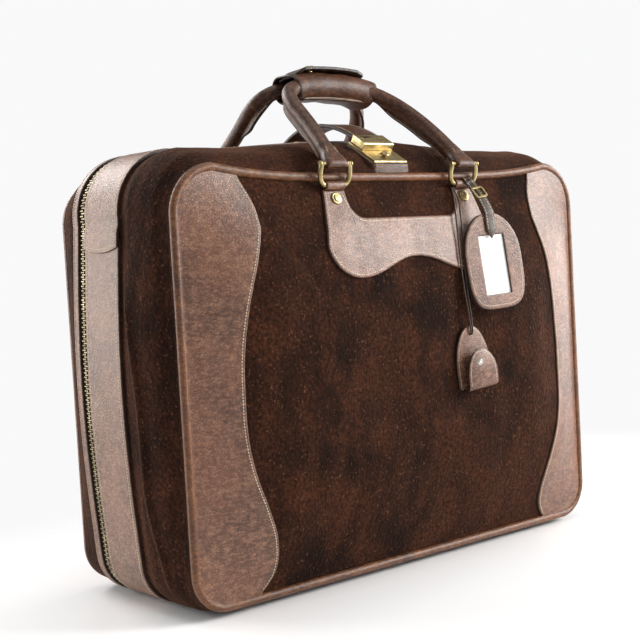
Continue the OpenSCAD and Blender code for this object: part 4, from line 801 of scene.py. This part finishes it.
def buildGrip(side):
    path = gripLine * np.array([-1 if side == "rear" else 1, 1])
    off = np.abs(gripLine[:, 0] - (wrap["left"] + wrap["right"]) / 2) - (wrap["right"] - wrap["left"]) / 2
    grow = ease((off - 2) / 24)
    if side == "rear":
        grow = grow * ease((path[:, 1] - grip["rearBare"]) / 26)
    r, half = grip["radius"], grip["flangeHalf"]
    q = math.asin(half / r)
    turn = np.linspace(q, 2 * np.pi - q, 30)
    circle = np.broadcast_to(np.c_[r * np.cos(turn), r * np.sin(turn)], (len(path), 30, 2))
    flange = ((grip["flange"] + grip["flangeMore"] * ease((path[:, 1] - 45) / 25)) * grow)[:, None]
    lobe = spots(r * math.cos(q) + flange * np.array([0.35, 0.8, 0.97, 1.02, 0.97, 0.8, 0.35]),
                 half * np.array([-1, -1, -0.75, 0, 0.75, 1, 1]))
    spine = inHandle(path[:, 0], 0.0, path[:, 1])
    verts, faces, up = sweep(spine, gripSide, np.concatenate([circle, lobe], 1))
    edge = np.concatenate([np.zeros((len(path), 30)), grow[:, None] * np.array([0, 0.4, 1, 1, 1, 0.4, 0])], 1)
    addPiece(side + "Handle", turned(verts, side), faces, gripHide, side + "_grip", side + "_handle",
             edge=np.r_[edge.ravel(), 0, 0])
    rows = []
    for arm in (path[:, 0] < -20, path[:, 0] > 20):
        at = arm & (grow > 0.6)
        for face in (-1, 1):
            points = spine[at] + gripSide * (r + 0.66 * flange[at]) + up[at] * face * (half + 0.05)
            rows.append((turned(points, side), turnedWay(up[at] * face, side)))
    stitchRows(side + "HandleStitches", rows, side + "_grip", 0.9)


# Ends: the flange and cover spread into a flat sleeve round the ring's pin.
# Section: |x|^(2/p) + |y|^(2/p) = 1 with p from 0.45 at the pin to 1 at the grip.
def buildGripEnds(side):
    h = np.r_[-5.6, -5.3, -4.6, -3.4, -1.6, 0, 2, 4, 7, 10, 13, 16, 19, 22, 24, 26]
    deep = grip["sleeveDeep"]
    depth = np.where(h < 0, np.sqrt(np.maximum(deep ** 2 - h ** 2, 0.1)), mix(deep, 8.6, ease((h - 3) / 19)))
    width = mix(grip["sleeveHalf"], 8.7, ease((h - 2) / 20))
    middle = ear["x"] - grip["inset"] * np.clip(h / grip["start"], 0, 1.1)
    t = np.radians(np.linspace(0, 360, 40, endpoint=False))
    power = mix(0.45, 1.0, ease(h / 24))[:, None]
    across, along = (np.sign(v) * np.abs(v) ** power for v in (np.cos(t), np.sin(t)))
    rows = []
    for flip in (-1, 1):
        verts = inHandle(flip * (middle[:, None] + width[:, None] * across), depth[:, None] * along, h[:, None])
        addPiece(side + "HandleEnd" + ends[flip], turned(verts, side), [gridFaces(len(h), 40, True)],
                 gripHide, side + "_grip", side + "_handle_ends", turned(inHandle(flip * 97.0, 0.0, 10.0), side))
        v = np.linspace(1, 20, 12)
        d, m, w = (np.interp(v, h, q) for q in (depth, middle, width))
        for face in (-1, 1):
            for k in (-0.62, 0.62):
                out = d * 0.97 * (1 - abs(k) ** 3.2) ** 0.5 * 0.98 + 0.15
                rows.append((turned(inHandle(flip * (m + k * w), face * out, v), side),
                             turnedWay(gripSide * face, side)))
    stitchRows(side + "HandleEndStitches", rows, side + "_grip", 0.85)


for side in ("front", "rear"):
    buildGrip(side)
    buildGripEnds(side)

# Rings: round brass wire, bowed at the arms, from one end of the pin under the ear loop to the other.
shackle = {"wire": 2.7, "lean": math.radians(11.0)}
arm = [(17.0, 24.4), (17.9, 22), (19.3, 17), (19.7, 11), (18.6, 5.2), (15.4, 1.3), (11, 0), (5, 0)]
wirePath = through([(-x, z) for x, z in arm] + [(0, 0)] + arm[::-1], 110)
wireTurn = np.radians(30 * np.arange(12))
fromEnd = np.minimum(np.arange(110), np.arange(110)[::-1])
wireSize = shackle["wire"] * np.sqrt(np.clip(fromEnd / 3 + 0.08, 0, 1))
circle = wireSize[:, None, None] * np.c_[np.cos(wireTurn), np.sin(wireTurn)]
c, s = math.cos(shackle["lean"]), math.sin(shackle["lean"])
for side in ("front", "rear"):
    for flip in (-1, 1):
        spine = spots(flip * ear["x"] + wirePath[:, 0], ear["y"] - s * wirePath[:, 1],
                      ear["z"] + c * wirePath[:, 1])
        verts, faces, up = sweep(spine, np.array([0, -c, -s]), circle)
        addPiece(side + "Ring" + ends[flip], turned(verts, side), faces, brass, side + "_ring_pair",
                 side + "_rings")

# Wrap: a loose stitched sleeve that holds both grips, with a lip along its lower front and a snap flap on top.
crest = gripLine[gripLine[:, 1] > 115]


def gripTop(x):
    return grip["pinZ"] + math.cos(grip["lean"]) * np.interp(x, crest[:, 0], crest[:, 1])


run = np.linspace(wrap["left"], wrap["right"], 44)
at = np.r_[run, wrap["right"] + 0.7, run[::-1], wrap["left"] - 0.7][:, None]
size = np.r_[wrap["outer"] + 0.25 * np.sin(run * 0.17), wrap["outer"] - 1.0, 0 * run + wrap["inner"],
             wrap["outer"] - 1.0][:, None]
a = np.linspace(-np.pi / 2, np.pi / 2, 24)
c, s = np.r_[np.cos(a), -np.cos(a)], np.r_[np.sin(a), -np.sin(a)]
height = size * s + 0.5 * softNoise(at, 15 * np.arctan2(s, c), 30, 5)
slope = (gripTop(at + 3) - gripTop(at - 3)) / 6
verts = spots(at - slope * height, wrap["y"] + wrap["off"] * np.sign(c) + size * c, gripTop(at) + height)
edge = np.zeros(height.shape)
edge[[43, 44, 45, -2, -1, 0]] = 0.8
addPiece("handleWrap", verts, [gridFaces(*height.shape, True, True)], gripHide, "front_grip", "handle_wrap",
         edge=edge, solid=True)
lipX = np.linspace(wrap["left"] + 8, wrap["right"] - 14, 50)
lipWay, lipFace = unit(np.array([0, -0.5, -0.87])), unit(np.array([0, -0.87, 0.5]))
lipPath = spots(lipX, wrap["y"] - wrap["off"], gripTop(lipX)) + lipWay * (wrap["outer"] - 0.4)
lipHalf = 3.4 * np.sin(np.linspace(0.25, np.pi - 0.25, 50)) ** 0.5
slabPiece("wrapLip", lipPath, lipWay, lipHalf, 2.8, 0.9, gripHide, "front_grip", "handle_wrap")
rows = [(lipPath[2:-2] + face * 1.5 + lipWay * 1.2, face) for face in (lipFace, -lipFace)]
stitchRows("wrapLipStitches", rows, "front_grip", 0.9)

# Flap: a stiff double leaf over the sleeve; it follows the arch, its left end curls down and its tip stands off.
flap = {"y": 113.4, "reach": 34.0, "thick": 0.003, "over": 2.1, "lift": 2.0, "tip": 1.2, "curl": 6.0, "sew": 3.2}


def onFlap(x, v):
    share = v / flap["reach"]
    z = gripTop(x) + wrap["outer"] + flap["over"] - 2.0 * np.clip(1 - v / 8, 0, 1) ** 2
    z = z + flap["lift"] * share ** 1.5 + flap["tip"] * share * ease((x - 20) / 30)
    return spots(x, flap["y"] - v, z - flap["curl"] * ease((-47 - x) / 15) ** 1.5)


def addBevel(piece, name, width, angle):
    bevel = piece.modifiers.new(name, "BEVEL")
    bevel.width, bevel.segments, bevel.limit_method, bevel.angle_limit = width, 2, "ANGLE", math.radians(angle)


u = np.r_[0, 0.008, 0.03, np.linspace(0.06, 0.94, 40), 0.97, 0.992, 1]
v = np.r_[0, 0.4, 1.2, np.linspace(3, 31, 20), 32.8, 33.6, flap["reach"]]
left = np.interp(v, [0, 24, 31, 34], [-60, -60, -56, -50])
right = np.interp(v, [0, 14, 26, 34], [44, 46, 42, 26])
near = np.minimum(np.minimum(u, 1 - u) * 104, np.minimum(v + 3, flap["reach"] - v)[:, None])
verts = onFlap(mix(left[:, None], right[:, None], u), v[:, None])
piece = addPiece("wrapFlap", verts, [gridFaces(len(v), len(u))], darkHide, "wrap_cover", "wrap_flap",
                 (0, 100.0, 500.0), edge=np.clip(1 - near / 0.6, 0, 1))
shell = piece.modifiers.new("doubleLeaf", "SOLIDIFY")
shell.thickness, shell.offset = flap["thick"], 0.0
addBevel(piece, "rubbedEdge", 0.0008, 50)
k = slice(2, -3)
row = np.concatenate([np.c_[left + flap["sew"], v][k], np.c_[np.linspace(-50, 26, 40), np.full(40, 31.2)],
                      np.c_[right - flap["sew"], v][k][::-1]])
row = row[row[:, 1] < 31.4]
points = onFlap(*row.T) + np.array([0, 0, 1.55])
stitchRows("wrapFlapStitches", [(points, np.array([0, -0.1, 1.0]))], "wrap_cover", 0.9)
print("handles and wrap ready")

# Lock: wedge pad under the plate, strap from the hasp over the zip, anchor on the rear half.
lock = {"plateY": 6.0, "slope": math.radians(31.8), "padHalf": 27.5, "padFrom": 4.7, "padTo": 47.1,
        "padMid": 26.0, "plateLength": 46.0, "strapHalf": 20.0, "strapThick": 4.0, "strapMid": 6.5,
        "strapSew": 16.2, "leave": 44.0, "land": 73.0, "landY": 187.0, "anchorHalf": 24.0, "anchorFrom": 176.0,
        "anchorTo": 194.2, "anchorThick": 2.4}


def padTop(y):
    return topLine(0.0) + 11.0 + (y - lock["plateY"]) * math.tan(lock["slope"])


def crownAt(y):
    return topLine(0.0) + case["crownMid"] * swell(y)


loop = roundLoop(-lock["padHalf"], lock["padHalf"], lock["padFrom"], lock["padTo"], 5.0)
centre = np.array([0.0, lock["padMid"]])
layers = [(0, 0.0, 0.1), (0, 0.55, 0), (0, 0.84, 0.1), (0.15, 0.93, 0.5), (0.6, 0.98, 0.3), (1.4, 1.0, 0),
          (6, 1.0, 0)]
verts = []
for insetBy, height, mark in layers:
    p = loop + (centre - loop) * (insetBy / np.maximum(np.abs(loop - centre).max(1), 1))[:, None]
    low = crownAt(p[:, 1]) + 0.2
    verts.append(np.c_[p, mix(low - 1.0, np.maximum(padTop(p[:, 1]), low + 0.6), height)])
n = len(loop)
verts = np.concatenate(verts + [[[0, lock["padMid"], padTop(lock["padMid"])]]])
edge = np.r_[np.repeat([mark for insetBy, height, mark in layers], n), 0]
addPiece("lockPad", verts, [gridFaces(7, n, True), fanFaces(6 * n, n, 7 * n)], gripHide, "base", "lock_pad",
         (0, lock["padMid"], 425.0), edge=edge, sharp=50)
row = closed(roundLoop(-25.6, 25.6, 6.6, 45.4, 4.0))
points = np.c_[row, padTop(row[:, 1]) + 0.1]
up = np.array([0, -math.sin(lock["slope"]), math.cos(lock["slope"])])
stitchRows("lockPadStitches", [(points, up)], "base", 0.8)


def anchorTop(y):
    return crownAt(y) + 2.7


# The strap's line is a cubic Bezier curve from the hasp's cap to the anchor, straight inside the cap.
d = np.array([math.cos(lock["slope"]), math.sin(lock["slope"])])
strapFrom = np.array([lock["plateY"], padTop(lock["plateY"]) + 0.15]) + lock["plateLength"] * d
strapFrom = strapFrom + lock["strapMid"] * np.array([-d[1], d[0]])
fall = math.atan((anchorTop(lock["landY"] - 4) - anchorTop(lock["landY"] + 4)) / 8)
strapTo = np.array([lock["landY"], anchorTop(lock["landY"])]) + 2.6 * np.array([math.sin(fall), math.cos(fall)])
c1, c2 = strapFrom + lock["leave"] * d, strapTo + lock["land"] * np.array([-math.cos(fall), math.sin(fall)])
t = np.linspace(0, 1, 70)[:, None]
bend = (1 - t) ** 3 * strapFrom + 3 * t * (1 - t) ** 2 * c1 + 3 * t * t * (1 - t) * c2 + t ** 3 * strapTo
path = np.concatenate([strapFrom + np.linspace(-18.6, -1.5, 6)[:, None] * d, bend])
path = np.c_[np.zeros(len(path)), path]
strap, up = slabPiece("lockStrap", path, np.array([1.0, 0, 0]), np.full(len(path), lock["strapHalf"]),
                      lock["strapThick"], 1.1, gripHide, "strap", "lock_strap", 0.85)
rows = [(path[7:] + np.array([x, 0, 0]) + up[7:] * (lock["strapThick"] / 2 + 0.05), up[7:])
        for x in (-lock["strapSew"], lock["strapSew"])]
stitchRows("lockStrapStitches", rows, "strap")

mid, half = openLength / 2, lock["anchorHalf"]
wallBand("strapAnchor", mid - half, mid + half, lock["anchorFrom"], lock["anchorTo"], "lid", "strap_anchor",
         gripHide, thick=lock["anchorThick"])
s = np.linspace(mid - half + 3, mid + half - 3, 20)
stitchRows("anchorStitches", [wallRow(s, y, 2.75) for y in (179.0, 191.5)], "lid", 0.85)
print("lock pad, strap and anchor ready")

# Luggage tag: two leather leaves round a card, hung on a buckled strap. Angles are in degrees.
tag = {"x": 106.0, "y": 36.5, "z": 318.0, "width": 80.0, "height": 106.0, "turn": 8.0, "lean": 6.0, "tilt": 3.0,
       "windowW": 35.5, "windowH": 66.0, "drop": 4.0, "sew": 4.0, "corners": 200}


# Point of the tag: u across, v up from its middle, w out from its back.
def tagPoint(u, v, w):
    (ct, st), (cl, sl), (cr, sr) = ((math.cos(a), math.sin(a)) for a in
                                    (math.radians(tag[k]) for k in ("tilt", "lean", "turn")))
    x, s = u * ct - v * st, u * st + v * ct
    y = s * sl - w * cl
    return spots(tag["x"] + x * cr + y * sr, -tag["y"] - x * sr + y * cr, tag["z"] + s * cl + w * sl)


# The tag's egg outline, moved in by d.
def egg(d):
    a = np.radians((np.arange(tag["corners"]) + 0.5) * 360 / tag["corners"])
    c, s = np.cos(a), np.sin(a)
    taper = np.where(s > 0, 1 - 0.3 * s * s, 1)
    square = np.where(s > 0, 0.62, 0.5)
    p = np.c_[tag["width"] / 2 * np.sign(c) * np.abs(c) ** square * taper,
              tag["height"] / 2 * np.sign(s) * np.abs(s) ** (square + 0.12)]
    return p * (1 - d / np.maximum(np.hypot(*p.T), 1))[:, None]


# Rings of a leaf: outline, distance from the tag's back, edge mark.
def leafRings(section):
    return (np.concatenate([tagPoint(*p.T, w) for p, w, mark in section]),
            np.repeat([mark for p, w, mark in section], tag["corners"]))


hub = np.array([0.0, -tag["drop"]])
ray = egg(0.0) - hub
window = ray / np.max(np.abs(ray) / (np.array([tag["windowW"], tag["windowH"]]) / 2), axis=1)[:, None]
section = [(egg(0.5), 2.3, 1), (egg(0.0), 2.6, 1), (egg(0.0), 4.1, 1), (egg(0.25), 4.6, 0.6), (egg(0.9), 5.0, 0)]
section += [(mix(egg(0.9), hub + 1.03 * window, k), 5.0, 0) for k in np.linspace(0.1, 1, 9)]
section += [(hub + 1.008 * window, 4.8, 0.8), (hub + window, 4.5, 1), (hub + window, 2.4, 1)]
verts, edge = leafRings(section)
n = tag["corners"]
addPiece("tagFrontLeaf", verts, [gridFaces(len(section), n, True)], hide, "tag", "tag_body",
         (tag["x"], -tag["y"] + 10, tag["z"]), edge=edge)
section = [(egg(0.9), 0.0, 0), (egg(0.25), 0.2, 0.6), (egg(0.0), 0.7, 1), (egg(0.0), 1.8, 1), (egg(0.5), 2.2, 1)]
verts, edge = leafRings(section)
verts = np.concatenate([tagPoint(0, -4.0, 0.0)[None], verts, tagPoint(0, -4.0, 2.2)[None]])
fans = np.concatenate([fanFaces(1, n, 0)[:, ::-1], fanFaces(1 + 4 * n, n, 1 + 5 * n)])
addPiece("tagBackLeaf", verts, [gridFaces(5, n, True) + 1, fans], hide, "tag", "tag_body",
         edge=np.r_[0, edge, 0], solid=True)
card = {"half": 20.3, "low": -42.8, "high": 30.8, "middle": -6.0, "back": 2.5, "front": 3.1}
loop = roundLoop(-card["half"], card["half"], card["low"], card["high"], 1.0)
n = len(loop)
verts = np.concatenate([tagPoint(*loop.T, card[k]) for k in ("back", "front")] +
                       [tagPoint(0, card["middle"], card[k])[None] for k in ("back", "front")])
fans = np.concatenate([fanFaces(0, n, 2 * n)[:, ::-1], fanFaces(n, n, 2 * n + 1)])
addPiece("tagCard", verts, [gridFaces(2, n, True), fans], cardStock, "tag", "tag_card", sharp=40,
         solid=True)
outwards = tagPoint(0, 0, 1.0) - tagPoint(0, 0, 0.0)
stitchRows("tagStitches", [(tagPoint(*closed(egg(tag["sew"])).T, 5.05), outwards)], "tag", 0.8)

# Strap: over the ring's bar, down through the buckle to a pointed tip on the tag.
tie = {"halfWidth": 6.7, "thick": 1.6, "x": 99.5, "radius": 5.58, "tip": 9.0, "sew": 4.2, "count": 110}
a = np.radians(np.array([-60, -30, 0, 30, 60]))
over = spots(tie["x"], ear["y"] - tie["radius"] * np.sin(a), ear["z"] + tie["radius"] * np.cos(a))
down = np.array([tagPoint(1, tag["height"] / 2 + v, 6.2) for v in (2.0, -6.0, -16.0)])
tip = tagPoint(0, tag["height"] / 2 - 28, 6.2)
start = np.array([tie["x"] + 2, ear["y"] - tie["radius"] - 1.6, ear["z"] - 1])
slant = np.array([mix(start, down[0] + np.array([0, 1.2, 6]), t) for t in (0, 0.35, 0.7)])
route = through(np.concatenate([over, slant, down, [tip]]), tie["count"])
across = tagPoint(1, 0, 0) - tagPoint(0, 0, 0)
way = unit(mix(np.array([1.0, 0, 0]), across, ease((np.arange(tie["count"]) - 38) / 16)[:, None]))
s = lengths(route)
half = tie["halfWidth"] * np.clip((s[-1] - s) / tie["tip"] + 0.03, 0, 1)
strap, up = slabPiece("tagStrap", route, -way, half, tie["thick"], 0.5, darkHide, None, "tag_strap")
keep = (s < s[-1] - tie["tip"]) & (np.arange(tie["count"]) >= 12)
rows = [(route[keep] + way[keep] * k + up[keep] * (tie["thick"] / 2 + 0.02), up[keep])
        for k in (-tie["sew"], tie["sew"])]
strapThread = stitchRows("tagStrapStitches", rows, None, 1.05)
for piece in (strap, strapThread):
    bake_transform(piece)
print("tag ready")

# Key pouch: a leaf with a round top and a flap folded up at its foot.
pouch = {"x": 70.0, "back": 32.4, "z": 216.0, "turn": math.radians(-5), "tilt": math.radians(-6), "width": 49.0,
         "height": 67.0, "topRadius": 14.0, "leaf": 2.4, "flapHeight": 44.2, "flapWidth": 43.0, "flapX": 2.5,
         "flapLeaf": 2.2, "footHalf": 20.5, "sew": 3.0}


def inPouch(p):
    p = np.asarray(p, float)
    cb, sb = math.cos(pouch["tilt"]), math.sin(pouch["tilt"])
    cc, sc = math.cos(pouch["turn"]), math.sin(pouch["turn"])
    x, z = p[..., 0] * cb + p[..., 2] * sb, -p[..., 0] * sb + p[..., 2] * cb
    y = p[..., 1]
    return spots(pouch["x"] + x * cc - y * sc, -pouch["back"] + x * sc + y * cc, pouch["z"] + z)


def inPouchWay(p):
    return inPouch(p) - inPouch(np.zeros(3))


# Half width of a leaf at height h: straight at the foot, above it |x|^2 + h^2.1 = 1.
def dropHalf(h, width, height):
    low = 0.3 * height
    crown = width / 2 * np.sqrt(np.clip(1 - (np.clip(h - low, 0, None) / (height - low)) ** 2.1, 0, 1))
    return np.where(h > low, crown, width / 2 - 2.2 * np.clip(1 - h / 4, 0, 1) ** 2)


pouchSide, pouchFront = inPouchWay([1.0, 0, 0]), inPouchWay([0, -1.0, 0])
r, top = pouch["topRadius"], pouch["height"]
h = np.r_[0, 0.2, 0.8, 2, 3.4, np.linspace(5, 50, 24), top - r + r * np.sin(np.radians(np.linspace(-8, 90, 26)))]
half = dropHalf(h, pouch["width"], top)
path = spots(0, -pouch["leaf"] / 2, h - top / 2)
slabPiece("pouchLeaf", inPouch(path), pouchSide, half, pouch["leaf"], 0.8, hide, "key_pouch", "pouch_body", 0.9)
rim = np.c_[half - pouch["sew"], h][h > 3]
rim = np.concatenate([rim * [-1, 1], rim[::-1]])
rim = rim[rim[:, 1] < 63.8]
rows = [(inPouch(spots(rim[:, 0], y, rim[:, 1] - top / 2)), way)
        for y, way in ((-pouch["leaf"] - 0.05, pouchFront), (0.05, -pouchFront))]
stitchRows("pouchLeafStitches", rows, "key_pouch", 0.75)

a = np.radians(np.linspace(0, 90, 12))
fold = np.concatenate([np.c_[np.linspace(-0.2, -6.5, 6), np.full(6, -35.0)],
                       np.c_[-7.0 - 4.5 * np.sin(a), -30.5 - 4.5 * np.cos(a)],
                       np.c_[np.full(40, -11.5), -30.5 + 38.6 * np.sin(np.radians(np.linspace(4, 90, 40)))]])
rest = np.clip(fold[:, 1] + 36.1, 0, None)
half = dropHalf(rest, pouch["flapWidth"], pouch["flapHeight"])
half[:6] = pouch["footHalf"]
belly = 1.2 * np.sin(np.pi * np.clip((fold[:, 1] + 34) / 42, 0, 1))
path = spots(pouch["flapX"], fold[:, 0] - belly, fold[:, 1])
slabPiece("pouchFlap", inPouch(path), pouchSide, half, pouch["flapLeaf"], 0.8, hide, "pouch_cover", "pouch_flap",
          0.9)
seam = (np.arange(len(half)) > 16) & (rest < 41.4)
out = spots(half - pouch["sew"], 0, 0)[seam]
row = np.concatenate([path[seam] - out, (path[seam] + out)[::-1]])
row = row - np.array([0, pouch["flapLeaf"] / 2 + 0.05, 0])
stitchRows("pouchFlapStitches", [(inPouch(row), pouchFront)], "pouch_cover", 0.75)

# Lace: two thin strands from the ear to the pouch's hole.
lace = {"diameter": 1.8, "spread": 2.6, "count": 160}
lacePath = through(np.array([
    [78.4, 8, 402.2], [77.8, 10, 398], [76.8, 13.4, 392], [75, 17, 384], [72, 21, 372], [68.5, 25.4, 358],
    [65, 29.6, 340], [63, 32.6, 320], [63, 34, 300], [64.5, 35.2, 280], [66.6, 36.3, 260], [67.4, 36.9, 248],
    [67.6, 36.9, 243.5], [67.7, 35.6, 240.6], [67.7, 33.6, 239.6]]) * np.array([1, -1, 1]), lace["count"])
t = np.linspace(0, 1, lace["count"])
apart = 1.1 + lace["spread"] * ease(t / 0.25) * ease((0.86 - t) / 0.6)
a = np.radians(36 * np.arange(10))
circle = lace["diameter"] / 2 * np.c_[np.cos(a), np.sin(a)]
for flip, hand in ((-1, "Left"), (1, "Right")):
    centre = lacePath + spots(flip * apart, -0.3 * (flip > 0), 0)
    verts, faces, up = sweep(centre, np.array([1.0, 0, 0]), circle)
    strand = addPiece("keyLace" + hand, verts, faces, darkHide, "key_pouch", "key_lace")
print("key pouch and lace ready")

# CAD nodes that stay: metal fittings and boards, the sharper ones with a fine bevel to catch the light.
cadLooks = dict.fromkeys((
    "front_rivets", "rear_rivets", "front_feet", "rear_feet", "lock_plate", "lock_screws", "lock_knob",
    "lock_hasp", "front_ring_pins", "rear_ring_pins", "wrap_stud", "wrap_snap", "zip_slider_left",
    "zip_slider_right", "zip_pull_left", "zip_pull_right", "tag_buckle"), brass)
cadLooks["pouch_snap"] = nickel
cadLooks.update(dict.fromkeys(("front_board", "rear_board", "base_frame", "lid_frame"), board))
for name, look in cadLooks.items():
    node = nodes[name]
    node.data.materials.clear()
    node.data.materials.append(look)
    if name.startswith(("lock_", "tag_buckle", "zip_slider", "zip_pull")):
        node.modifiers.new("weld", "WELD").merge_threshold = 0.00001
        addBevel(node, "bevel", 0.0003, 35)

# Stage, in metres: pale floor that fades into the white room, soft boxes and the camera of the photograph.
# Where the floor has faded the camera sees through it, and glossy pieces mirror white.
stage = {"floor": "#fafbfc", "white": "#f9f9fa", "room": "#f6f5f4", "roomLight": 0.4, "lamp": "#fffdfb",
         "half": 8.0, "aim": (0, 0, 0.25), "fadeRound": (0.36, 0.95), "fadeBehind": (0.15, 0.5)}
scene = bpy.context.scene
e = stage["half"]
floorMesh = bpy.data.meshes.new("floor")
floorMesh.from_pydata([(-e, -e, 0), (e, -e, 0), (e, e, 0), (-e, e, 0)], [], [(0, 1, 2, 3)])
floor = bpy.data.objects.new("floor", floorMesh)
scene.collection.objects.link(floor)


def fadeMask(tree, value, span):
    values = {"Value": value, "From Min": span[0], "From Max": span[1]}
    return addNode(tree, "ShaderNodeMapRange", values, interpolation_type="SMOOTHSTEP").outputs[0]


def mixShaders(tree, mask, a, b):
    return addNode(tree, "ShaderNodeMixShader", {0: mask, 1: a.outputs[0], 2: b.outputs[0]})


paper = bpy.data.materials.new("paleStudioFloor")
paper.use_nodes = True
tree = paper.node_tree
shader = tree.nodes["Principled BSDF"]
setInputs(tree, shader, {"Base Color": stage["floor"], "Roughness": 0.32, "Specular IOR Level": 0.25})
place = addNode(tree, "ShaderNodeTexCoord").outputs["Object"]
far = addNode(tree, "ShaderNodeVectorMath", {0: place}, operation="LENGTH").outputs["Value"]
depth = addNode(tree, "ShaderNodeSeparateXYZ", {0: place}).outputs["Y"]
away = math2(tree, "MAXIMUM", fadeMask(tree, far, stage["fadeRound"]), fadeMask(tree, depth, stage["fadeBehind"]))
rays = addNode(tree, "ShaderNodeLightPath").outputs
white = addNode(tree, "ShaderNodeEmission", {"Color": stage["white"], "Strength": 1.0})
mirrored = mixShaders(tree, math2(tree, "MULTIPLY", away, rays["Is Glossy Ray"]), shader, white)
clear = addNode(tree, "ShaderNodeBsdfTransparent")
whole = mixShaders(tree, math2(tree, "MULTIPLY", away, rays["Is Camera Ray"]), mirrored, clear)
setInputs(tree, tree.nodes["Material Output"], {"Surface": whole.outputs[0]})
floorMesh.materials.append(paper)

world = bpy.data.worlds.new("whiteStudio")
scene.world = world
world.use_nodes = True
tree = world.node_tree
tree.nodes.clear()
rays = addNode(tree, "ShaderNodeLightPath").outputs
seen = math2(tree, "MAXIMUM", rays["Is Camera Ray"], rays["Is Transmission Ray"])
room = addNode(tree, "ShaderNodeBackground", {"Color": stage["room"], "Strength": stage["roomLight"]})
back = addNode(tree, "ShaderNodeBackground", {"Color": stage["white"], "Strength": 1.0})
addNode(tree, "ShaderNodeOutputWorld", {"Surface": mixShaders(tree, seen, room, back).outputs[0]})

# Each lamp: place, width and height, watts.
lights = {"rightSoftbox": ((1.65, -1.4, 1.0), (1.2, 1.1), 76), "sideStrip": ((2.2, 0.1, 0.5), (0.8, 1.4), 28),
          "rearLeftStrip": ((-1.6, 1.7, 0.45), (1.0, 1.6), 46), "rearSoftbox": ((-0.5, 2.0, 1.6), (1.4, 0.9), 42),
          "topSoftbox": ((0.0, -0.2, 2.4), (1.6, 1.4), 16)}
for name, (spot, size, power) in lights.items():
    lamp = bpy.data.lights.new(name, "AREA")
    lamp.shape = "RECTANGLE"
    lamp.size, lamp.size_y, lamp.energy = size[0], size[1], power
    lamp.color = linear(stage["lamp"])[:3]
    holder = bpy.data.objects.new(name, lamp)
    holder.location = spot
    holder.rotation_euler = (Vector(stage["aim"]) - Vector(spot)).to_track_quat("-Z", "Y").to_euler()
    scene.collection.objects.link(holder)

# Camera fitted to the photo: angles in degrees, lens in mm on a 36 mm sensor.
view = {"spot": (-0.935, -1.06075, 0.347), "yaw": 40.15, "pitch": 3.24, "roll": -3.22, "lens": 70.26}
yaw, pitch, roll = (math.radians(view[k]) for k in ("yaw", "pitch", "roll"))
ahead = Vector((math.sin(yaw) * math.cos(pitch), math.cos(yaw) * math.cos(pitch), -math.sin(pitch)))
level = Vector((math.cos(yaw), -math.sin(yaw), 0))
up = level.cross(ahead)
right = math.cos(roll) * level + math.sin(roll) * up
up = -math.sin(roll) * level + math.cos(roll) * up
camera = bpy.data.objects.new("camera", bpy.data.cameras.new("camera"))
camera.data.lens, camera.data.sensor_width = view["lens"], 36.0
camera.data.clip_start, camera.data.clip_end = 0.05, 40
camera.matrix_world = Matrix.Translation(view["spot"]) @ Matrix((right, up, -ahead)).transposed().to_4x4()
scene.collection.objects.link(camera)
scene.camera = camera
scene.view_settings.view_transform = "Standard"
